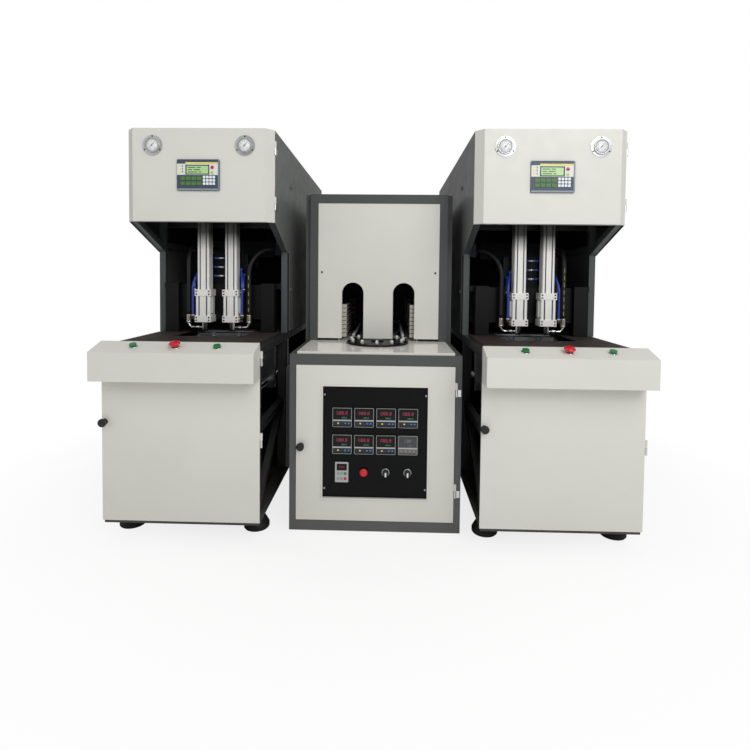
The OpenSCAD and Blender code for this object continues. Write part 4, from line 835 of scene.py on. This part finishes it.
class LINE_OT_gauges(StationStep, bpy.types.Operator):
    """Dials, marks, numbers, needles, glasses and flange screws of the pressure gauges"""

    bl_idname = "line.gauges"
    bl_label = "Pressure gauges"

    def station(self, sizes, side, origin):
        marks = {"Count": sizes.dial_marks, "Radius": 0.0245, "Sweep": radians(270), "Mark": (0.0005, 0.0002, 0.003)}
        face = HEAD_FACE - 7.5
        body = side + "_head_cover"
        dials, needles, glass, digits = blanks(4)
        spots = []
        for hand, x in (("left", -GAUGE_X), ("right", GAUGE_X)):
            rod(dials, 29.4, 0, 1.4, (x, HEAD_FACE - 6.05, GAUGE_Z), FRONT, 48)
            ring(dials, [(26.4, 0), (27.6, 0), (27.6, 0.15), (26.4, 0.15)], (x, face, GAUGE_Z), FRONT, 48, 1)
            self.needle(needles, (x, face, GAUGE_Z))
            curve = [(28.9, 0), (28.9, 0.8), (20, 1.3), (10, 1.6), (0, 1.7)]
            lathe(glass, curve, (x, HEAD_FACE - 9.2, GAUGE_Z), FRONT, 48)
            place = origin + Vector((x, face - 0.1, GAUGE_Z)) / 1000
            grown(f"{side}_gauge_marks_{hand}", body, dial_tree(), {**marks, "Place": place}, "black_print")
            for i in range(5):
                a = radians(-135 + 67.5 * i)
                place = (x + 18 * sin(a), face - 0.1, GAUGE_Z + 18 * cos(a))
                words(digits, str(i * 4), 5.5, place)
            for a in map(radians, (90, 210, 330)):
                spots.append((x + 39.5 * cos(a), HEAD_FACE - 2.6, GAUGE_Z + 39.5 * sin(a)))
        weld(needles)
        weld(dials)
        dress(side + "_gauge_", body, origin, dials=(dials, "dial black_print"), needles=(needles, "needle"),
              glasses=(glass, "lens"), digits=(digits, "black_print"))
        screws(side + "_gauge_screws", body, spots, 3.4, 2.2, origin, "black_abs")

    @staticmethod
    def needle(mesh, place):
        """A tapered pointer on its hub, a little in front of the dial."""
        turn = Matrix.Translation((place[0], place[1] - 1.0, place[2])) @ Matrix.Rotation(radians(42), 4, "Y")
        outline = ((-1.5, -9), (1.5, -9), (0.5, 21), (-0.5, 21))
        made = [mesh.verts.new(turn @ Vector((x, y, z))) for y in (0, -0.5) for x, z in outline]
        for corners in ((0, 1, 2, 3), (7, 6, 5, 4), (0, 4, 5, 1), (1, 5, 6, 2), (2, 6, 7, 3), (3, 7, 4, 0)):
            mesh.faces.new([made[i] for i in corners])
        lathe(mesh, [(0, 0), (3.6, 0), (3.6, 1.2), (2.6, 2.0), (0, 2.2)], place, FRONT, 24)


class LINE_OT_operating_panels(StationStep, bpy.types.Operator):
    """Printed face, lamps, display and keys of the operating panels"""

    bl_idname = "line.operating_panels"
    bl_label = "Operating panels"

    def station(self, sizes, side, origin):
        face_y, left, top = HEAD_FACE - 7, -PANEL_W / 2, PANEL_Z + PANEL_H / 2
        body = side + "_head_cover"
        face, lamps, ink = blanks(3)
        for x0, x1, z0, z1, finish, lift, thick, soft in PANEL_FIELDS:
            centre = (left + (x0 + x1) / 2, face_y - lift, top - (z0 + z1) / 2)
            plate(face, centre, x1 - x0, z1 - z0, soft, thick, finish)
        red = [(0, 0), (7.5, 0), (7.5, 1.2), (6, 2.2), (0, 2.6)]
        lime = [(0, 0), (6.5, 0), (6.5, 1.0), (5, 1.8), (0, 2.2)]
        for finish, (profile, z) in enumerate(((red, 35), (lime, 58))):
            lathe(lamps, profile, (left + 157, face_y - 0.3, top - z), FRONT, 28, finish)
        for row, widths in enumerate(((34, 18), (20, 30), (42, 12))):
            x = -46
            for width in widths:
                plate(ink, (x + width / 2, face_y + 0.3, PANEL_Z + 33 - row * 10), width, 4, 0.8, 0.1)
                x += width + 6
        finishes = "slate_abs white_print yellow_print black_print display pale_slate yellow_print"
        dress(side + "_panel_", body, origin, face=(face, finishes), lamps=(lamps, "red_cap lime_lamp"),
              segments=(ink, "display_ink"))
        for finish, rows, x, z, *spans in (("green_key", 2, -66.6, 37, 24, 22, 20.6, 15.6, 3.5, 2.4),
                                           ("white_key", 3, 27.5, 37.8, 14.2, 14.2, 11.1, 11.1, 2.2, 2.4)):
            inputs = {title: span / 1000 for title, span in zip(KEY_SPANS, spans)}
            inputs["Place"] = origin + Vector((x, face_y + 0.2, PANEL_Z - z)) / 1000
            grown(f"{side}_{finish}s", body, grid_tree(), {**inputs, "Across": 4, "Up": rows}, finish)


class LINE_OT_console_fittings(StationStep, bpy.types.Operator):
    """Metal bezels of the consoles' push buttons"""

    bl_idname = "line.console_fittings"
    bl_label = "Console fittings"

    def station(self, sizes, side, origin):
        bezel = sizes.bezel * 1000
        slope = Matrix.Translation((0, CONSOLE_Y, CONSOLE_Z)) @ Matrix.Rotation(CONSOLE_TILT, 4, "X")
        rings = bmesh.new()
        for x, outer in ((-START_X, bezel), (START_X, bezel), (0, bezel + 1)):
            profile = [(10.6, 0), (outer, 0), (outer, 2.2), (outer - 1.5, 3.6), (10.6, 3.6)]
            ring(rings, profile, (x, 0, 0), UP, 40)
        rings.transform(slope)
        weld(rings)
        piece(side + "_button_bezels", side + "_front_door", rings, "chrome", origin)


class LINE_OT_heater_instruments(bpy.types.Operator):
    """Faces of the regulators, the inverter's keypad, and the screws and switch marks of the control panel"""

    bl_idname = "line.heater_instruments"
    bl_label = "Heater instruments"

    def execute(self, context):
        body, origin = "heater_door", HEATER
        pocket, rim, top = 4.0, 1.0, 41.5
        faces, red, green, idle = blanks(4)
        finishes = ("face_black face_grey outline strip_blue strip_grey yellow_print blue_lamp ring_print silver "
                    "green_key red_cap slate_abs")
        black, grey, outline, strip, idle_strip, yellow, blue, key, silver, green_key = range(10)
        look = (black, strip, ((-16.5, yellow), (13.5, blue), (28.5, blue)), "088.8", red, green)
        idle_look = (grey, idle_strip, ((-28, key), (-10, key), (8, key), (26, key)), "188", idle, idle)
        for row in range(2):
            for column in range(4):
                x, z = (column - 1.5) * COLUMN_PITCH, REGULATOR_Z - row * ROW_PITCH
                face, bar, lamps, text, first, second = idle_look if (row, column) == (1, 3) else look
                strip_z = z + top - 66.5
                plate(faces, (x, pocket, z), 70.6, 70.6, 2, pocket - rim, black)
                plate(faces, (x, rim - 0.05, z), 82.6, 82.6, 3, 0.25, outline)
                plate(faces, (x, rim - 0.3, z), 79.4, 79.4, 2, 0.3, face)
                plate(faces, (x, rim - 0.6, z + top - 54), 79.4, 6, 0.5, 0.2, outline)
                plate(faces, (x, rim - 0.6, strip_z), 79.4, 18, 0.5, 0.2, bar)
                for offset, finish in lamps:
                    plate(faces, (x + offset, rim - 0.8, strip_z), 7, 6, 2.9, 0.6, finish)
                words(first, text, 22, (x - 0.5, rim - 0.65, z + top - 23))
                words(second, text, 10.5, (x + 9, rim - 0.65, z + top - 42.5))
        x = -1.5 * COLUMN_PITCH
        plate(faces, (x, pocket, ROW3_Z), 45.6, 76.6, 2, pocket - rim, silver)
        plate(faces, (x, rim - 0.05, ROW3_Z), 57.4, 88.4, 3, 0.35, silver)
        plate(faces, (x, rim - 0.4, ROW3_Z + 22), 44, 29, 1.5, 0.6, black)
        button = [(0, 0), (6.4, 0), (6.4, 1.0), (5.4, 1.8), (0, 2.0)]
        for row, drop in enumerate((49, 71)):
            for column, finish in enumerate((key, key, green_key + row)):
                lathe(faces, button, (x - 15 + 15 * column, rim - 0.4, ROW3_Z + 43 - drop), FRONT, 24, finish)
        words(red, "50.0", 13, (x, rim - 1.0, ROW3_Z + 22))
        dress("regulator_", body, origin, faces=(faces, finishes), red_digits=(red, "dim_red"),
              green_digits=(green, "dim_green"), idle_digits=(idle, "idle_digits"))
        spots = [(x, 8, z) for x in (-DOOR_SCREW_X, DOOR_SCREW_X) for z in DOOR_SCREWS_Z]
        screws("control_panel_screws", body, spots, 4.5, 2.4, origin)
        rings = bmesh.new()
        switches = {"heating_switch": 0.5 * COLUMN_PITCH, "drive_switch": 1.5 * COLUMN_PITCH}
        for x in switches.values():
            ring(rings, [(10.6, 0), (17, 0), (17, 1.6), (16, 2.6), (10.6, 2.6)], (x, 8, ROW3_Z), FRONT, 40)
        weld(rings)
        piece("switch_bezels", body, rings, "silver", origin)
        for name, x in switches.items():
            mark = bmesh.new()
            block(mark, (x - 3.4, -11.9, ROW3_Z - 13.5), (x + 3.4, -11.3, ROW3_Z + 5), 0.2)
            piece(name + "_pointer", name, mark, "white_print", origin)
        return {"FINISHED"}


class LINE_OT_heater_trim(bpy.types.Operator):
    """Hood screws, white caps of the preform holders, the chain's guide wires and filter pads"""

    bl_idname = "line.heater_trim"
    bl_label = "Heater trim"

    def execute(self, context):
        cap = context.scene.line_sizes.holder_cap * 1000
        spots = [(x, HOOD_Y + 2, HOOD_SCREW_Z) for x in (-HOOD_SCREW_X, HOOD_SCREW_X)]
        screws("hood_screws", "root", spots, 5.5, 3, HEATER, "dark_steel")

        def sleeves(name, body, feet):
            sleeve = bmesh.new()
            profile = [(0, 0.4), (cap, 0.4), (cap, 13), (cap - 1.6, 18), (3, 19.5), (0, 20)]
            for x, y in feet:
                lathe(sleeve, profile, (x, y, PEG_FOOT), UP, 20)
            piece(name, body, sleeve, "nylon", HEATER)

        turns = [radians(i * 360 / HOLDERS - 90) for i in range(HOLDERS)]
        for name, wheel_y in zip(("carrier_wheel", "rear_wheel"), WHEEL_YS):
            feet = [(HOLDER_RADIUS * cos(a), wheel_y + HOLDER_RADIUS * sin(a)) for a in turns]
            sleeves(name + "_caps", name, feet)
        links = [CHAIN_Y0 + (i + 0.5) * CHAIN_PITCH for i in range(int((CHAIN_Y1 - CHAIN_Y0) / CHAIN_PITCH))]
        sleeves("chain_caps", "root", [(x, y) for x in (-HOLDER_RADIUS, HOLDER_RADIUS) for y in links])
        wires, pads = blanks(2)
        for x in (-HOLDER_RADIUS, HOLDER_RADIUS):
            for aside in (-16, 16):
                rod(wires, 2.5, 0, CHAIN_Y1 - CHAIN_Y0, (x + aside, CHAIN_Y0, PEG_FOOT + 4), (0, 1, 0), 12)
        piece("chain_guide_wires", "root", wires, "chrome", HEATER)
        for x, half, back, low, high in ((160, 76, HOOD_BACK, 1092, 1350), (180, 66, HEATER_BACK, 412, 566)):
            for middle in (-x, x):
                block(pads, (middle - half, back - 14, low), (middle + half, back - 0.3, high))
        piece("heater_filter_pads", "root", pads, "filter", HEATER)
        return {"FINISHED"}


class LINE_OT_station_trim(StationStep, bpy.types.Operator):
    """Filter pads behind the stations' ventilation slots, and the rubber seals under their side panels"""

    bl_idname = "line.station_trim"
    bl_label = "Station trim"

    def station(self, sizes, side, origin):
        pads, seals = blanks(2)
        for x in (-165, 165):
            for z in (1337, 482):
                block(pads, (x - 66, STATION_BACK - 12, z - 8), (x + 66, STATION_BACK - 0.3, z + 146))
        for low, high in ((-327.8, -320.3), (320.3, 327.8)):
            block(seals, (low, POST_BACK, 808.5), (high, STATION_BACK - 42, 824))
        dress(side + "_", "root", origin, filter_pads=(pads, "filter"), panel_seals=(seals, "rubber"))


class LINE_OT_air_gear(StationStep, bpy.types.Operator):
    """Fittings, elbow pipes, tube ends and blowing hoses of the stations"""

    bl_idname = "line.air_gear"
    bl_label = "Air gear"

    def station(self, sizes, side, origin):
        dash = {"Step": 0.034, "Dash": (0.0028, 0.0028, sizes.dash)}
        outward = 1 if side == "right" else -1
        self.valves(side, origin, sizes.tube * 1000 / 2)
        self.caps(side, origin, outward)
        self.elbows(side, origin)
        outer, inner = outward * HOSE_X, -outward * HOSE_X
        for name, x, path, bottom in (("outer", outer, self.outer_path(outer), 1150),
                                      ("inner", inner, self.inner_path(inner), 1100)):
            hose = bmesh.new()
            pipe(hose, path, HOSE_R, 24)
            made = piece(f"{side}_{name}_hose", None, hose, "hose", origin)
            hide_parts("blow_hoses")
            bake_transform(made)
            if x > 0:
                line = path_seed([(x, MOULD_Y - HOSE_R + 0.8, z) for z in range(DASHES_Z, bottom, 10)], origin)
                dashes = grown(f"{side}_hose_dashes", None, dash_tree(), dash, "hose_print", line)
                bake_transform(dashes)

    @staticmethod
    def rise(x, top, steps):
        """Straight up from the ferrule."""
        return [(x, MOULD_Y, HOSE_Z + 0.3 + (top - HOSE_Z) * i / steps) for i in range(steps)]

    def outer_path(self, x):
        """Over backwards and on to the manifold."""
        turn = bend((x, MOULD_Y + HOSE_BEND, HOSE_TOP), (x, MOULD_Y, HOSE_TOP), UP, HOSE_BEND)
        return self.rise(x, HOSE_TOP, 14) + turn + [(x, MANIFOLD_Y, HOSE_TOP + HOSE_BEND)]

    def inner_path(self, x):
        """Over sideways to the block on the wall."""
        aside = Vector((copysign(sin(LEAN_TURN), x), cos(LEAN_TURN), 0))
        foot = Vector((x, MOULD_Y, LEAN_Z))
        turn = bend(foot + aside * LEAN_BEND, foot, UP, LEAN_BEND, 16)
        return self.rise(x, LEAN_Z, 11) + turn + [turn[-1] + aside * LEAN_END]

    @staticmethod
    def valves(side, origin, tube):
        """Silver cross fittings in three rows on the valve block, with blue tube ends between them."""
        crosses, ends = blanks(2)
        for z in VALVE_ROWS:
            rod(crosses, 6.5, -15, 15, (0, VALVE_Y, z), (1, 0, 0), 20)
            lathe(crosses, [(0, 0), (8, 0), (8, 12), (6, 14), (6, 19), (0, 19)], (0, VALVE_FACE, z), FRONT, 20)
            for sx in (-1, 1):
                rod(ends, tube, 0, 19, (sx * 15, VALVE_Y, z), (sx, 0, 0), 16)
        dress(side + "_cross_", "root", origin, fittings=(crosses, "chrome"), tubes=(ends, "blue_tube"))

    @staticmethod
    def caps(side, origin, outward):
        """Screws, switch rails, elbow fittings, collars and brass hexagons at the sealing cylinders."""
        heights = (SEAL_Z + 9, SEAL_Z + 23, SEAL_TOP - 9, SEAL_TOP - 23)
        spots = [(sx * HEAD_X + x, MOULD_Y - 40, z) for sx in (-1, 1) for x in (-31, 31) for z in heights]
        screws(side + "_cap_screws", "root", spots, 4.2, 3, origin, "dark_steel", 12)
        black, white, brass, rails = blanks(4)
        plug = [(0, 0), (7.8, 0), (7.8, 7), (6.6, 8), (0, 8)]
        collar = [(0, 14.3), (8.1, 14.3), (8.1, 18), (6.4, 19.6), (0, 19.6)]
        low_row, high_row = (SEAL_Z + 16, MOULD_Y - 22, 104, 1131), (SEAL_TOP - 16, MOULD_Y - 2, 118, 1103)
        for sx in (-1, 1):
            for z, y, plug_x, plug_z in (low_row, high_row):
                rod(black, 7.7, -6.5, 14.2, (sx * FITTING_X, y, z), UP, 20)
                rod(black, 5.6, 0, 14, (sx * PORT_X, y, z), (sx, 0, 0), 16)
                lathe(black, plug, (sx * plug_x, VALVE_FACE, plug_z), FRONT, 20)
                lathe(white, collar, (sx * FITTING_X, y, z), UP, 20)
                if sx != outward:
                    rod(brass, 8.2, 0, 6, (sx * PORT_X, y, z), (sx, 0, 0), 6)
            flank = sx * HEAD_X - outward * 36.2
            for low, high, finish in ((0, 4, 1 if sx != outward else 0), (4.1, 10, 0)):
                ends = sorted((flank - outward * low, flank - outward * high))
                block(rails, (ends[0], 441, 914), (ends[1], 466, 990), 0.6, finish)
        dress(side + "_", "root", origin, switch_rails=(rails, "rail teal"), tube_elbows=(black, "black_abs"),
              tube_collars=(white, "nylon"), brass_hexagons=(brass, "brass"))

    @staticmethod
    def elbows(side, origin):
        """Bright pipes, light nuts and ribbed ferrules between the nozzles and the blowing hoses."""
        pipes, nuts, ferrules = blanks(3)
        ribs = [(12.4 + 0.7 * (i % 2), 11 + 2.6 * i) for i in range(12)]
        for sx in (-1, 1):
            start, nut = (sx * (HOSE_X - ELBOW_R), MOULD_Y, ELBOW_Z), (sx * HOSE_X, MOULD_Y, NUT_Z)
            turn = bend((start[0], MOULD_Y, ELBOW_Z + ELBOW_R), start, (sx, 0, 0), ELBOW_R, 10)
            rise = (sx * HOSE_X, MOULD_Y, ELBOW_Z + ELBOW_R + 6)
            pipe(pipes, [(sx * 88, MOULD_Y, ELBOW_Z), *turn, rise], 5.6, 18)
            rod(nuts, 10.2, 0, 16, (sx * 96, MOULD_Y, ELBOW_Z), (sx, 0, 0), 6)
            rod(nuts, 13.6, 0, 10, nut, UP, 6)
            lathe(ferrules, [(0, 10.2), (12.4, 10.2), *ribs, (11, 41), (0, 41)], nut, UP, 28)
        dress(side + "_", side + "_blow_nozzles", origin, elbow_pipes=(pipes, "chrome"),
              hose_nuts=(nuts, "cast_aluminium"), hose_ferrules=(ferrules, "champagne"))


class LINE_PT_sidebar(bpy.types.Panel):
    """Lists the steps that dress the line"""

    bl_idname = "LINE_PT_sidebar"
    bl_label = "Blow line"
    bl_space_type = "VIEW_3D"
    bl_region_type = "UI"
    bl_category = "Blow line"

    def draw(self, context):
        for name, kind in GROUPS.items():
            box = self.layout.box()
            for setting in kind.__annotations__:
                box.prop(getattr(context.scene, name), setting)
        for step in STEPS:
            self.layout.operator(step.bl_idname)


GROUPS = {"line_sizes": LineSizes, "line_colours": LineColours, "line_stage": LineStage}
STEPS = (
    LINE_OT_studio, LINE_OT_coat_solids, LINE_OT_gauges, LINE_OT_operating_panels, LINE_OT_console_fittings,
    LINE_OT_heater_instruments, LINE_OT_heater_trim, LINE_OT_station_trim, LINE_OT_air_gear,
)
CLASSES = (*GROUPS.values(), *STEPS, LINE_PT_sidebar)


def register():
    for cls in CLASSES:
        bpy.utils.register_class(cls)
    for name, kind in GROUPS.items():
        setattr(bpy.types.Scene, name, PointerProperty(type=kind))


def unregister():
    for name in GROUPS:
        delattr(bpy.types.Scene, name)
    for cls in reversed(CLASSES):
        bpy.utils.unregister_class(cls)


def main():
    register()
    bpy.ops.line.studio()
    bpy.ops.line.coat_solids()
    bpy.ops.line.gauges()
    bpy.ops.line.operating_panels()
    bpy.ops.line.console_fittings()
    bpy.ops.line.heater_instruments()
    bpy.ops.line.heater_trim()
    bpy.ops.line.station_trim()
    bpy.ops.line.air_gear()


if __name__ == "__main__":
    main()
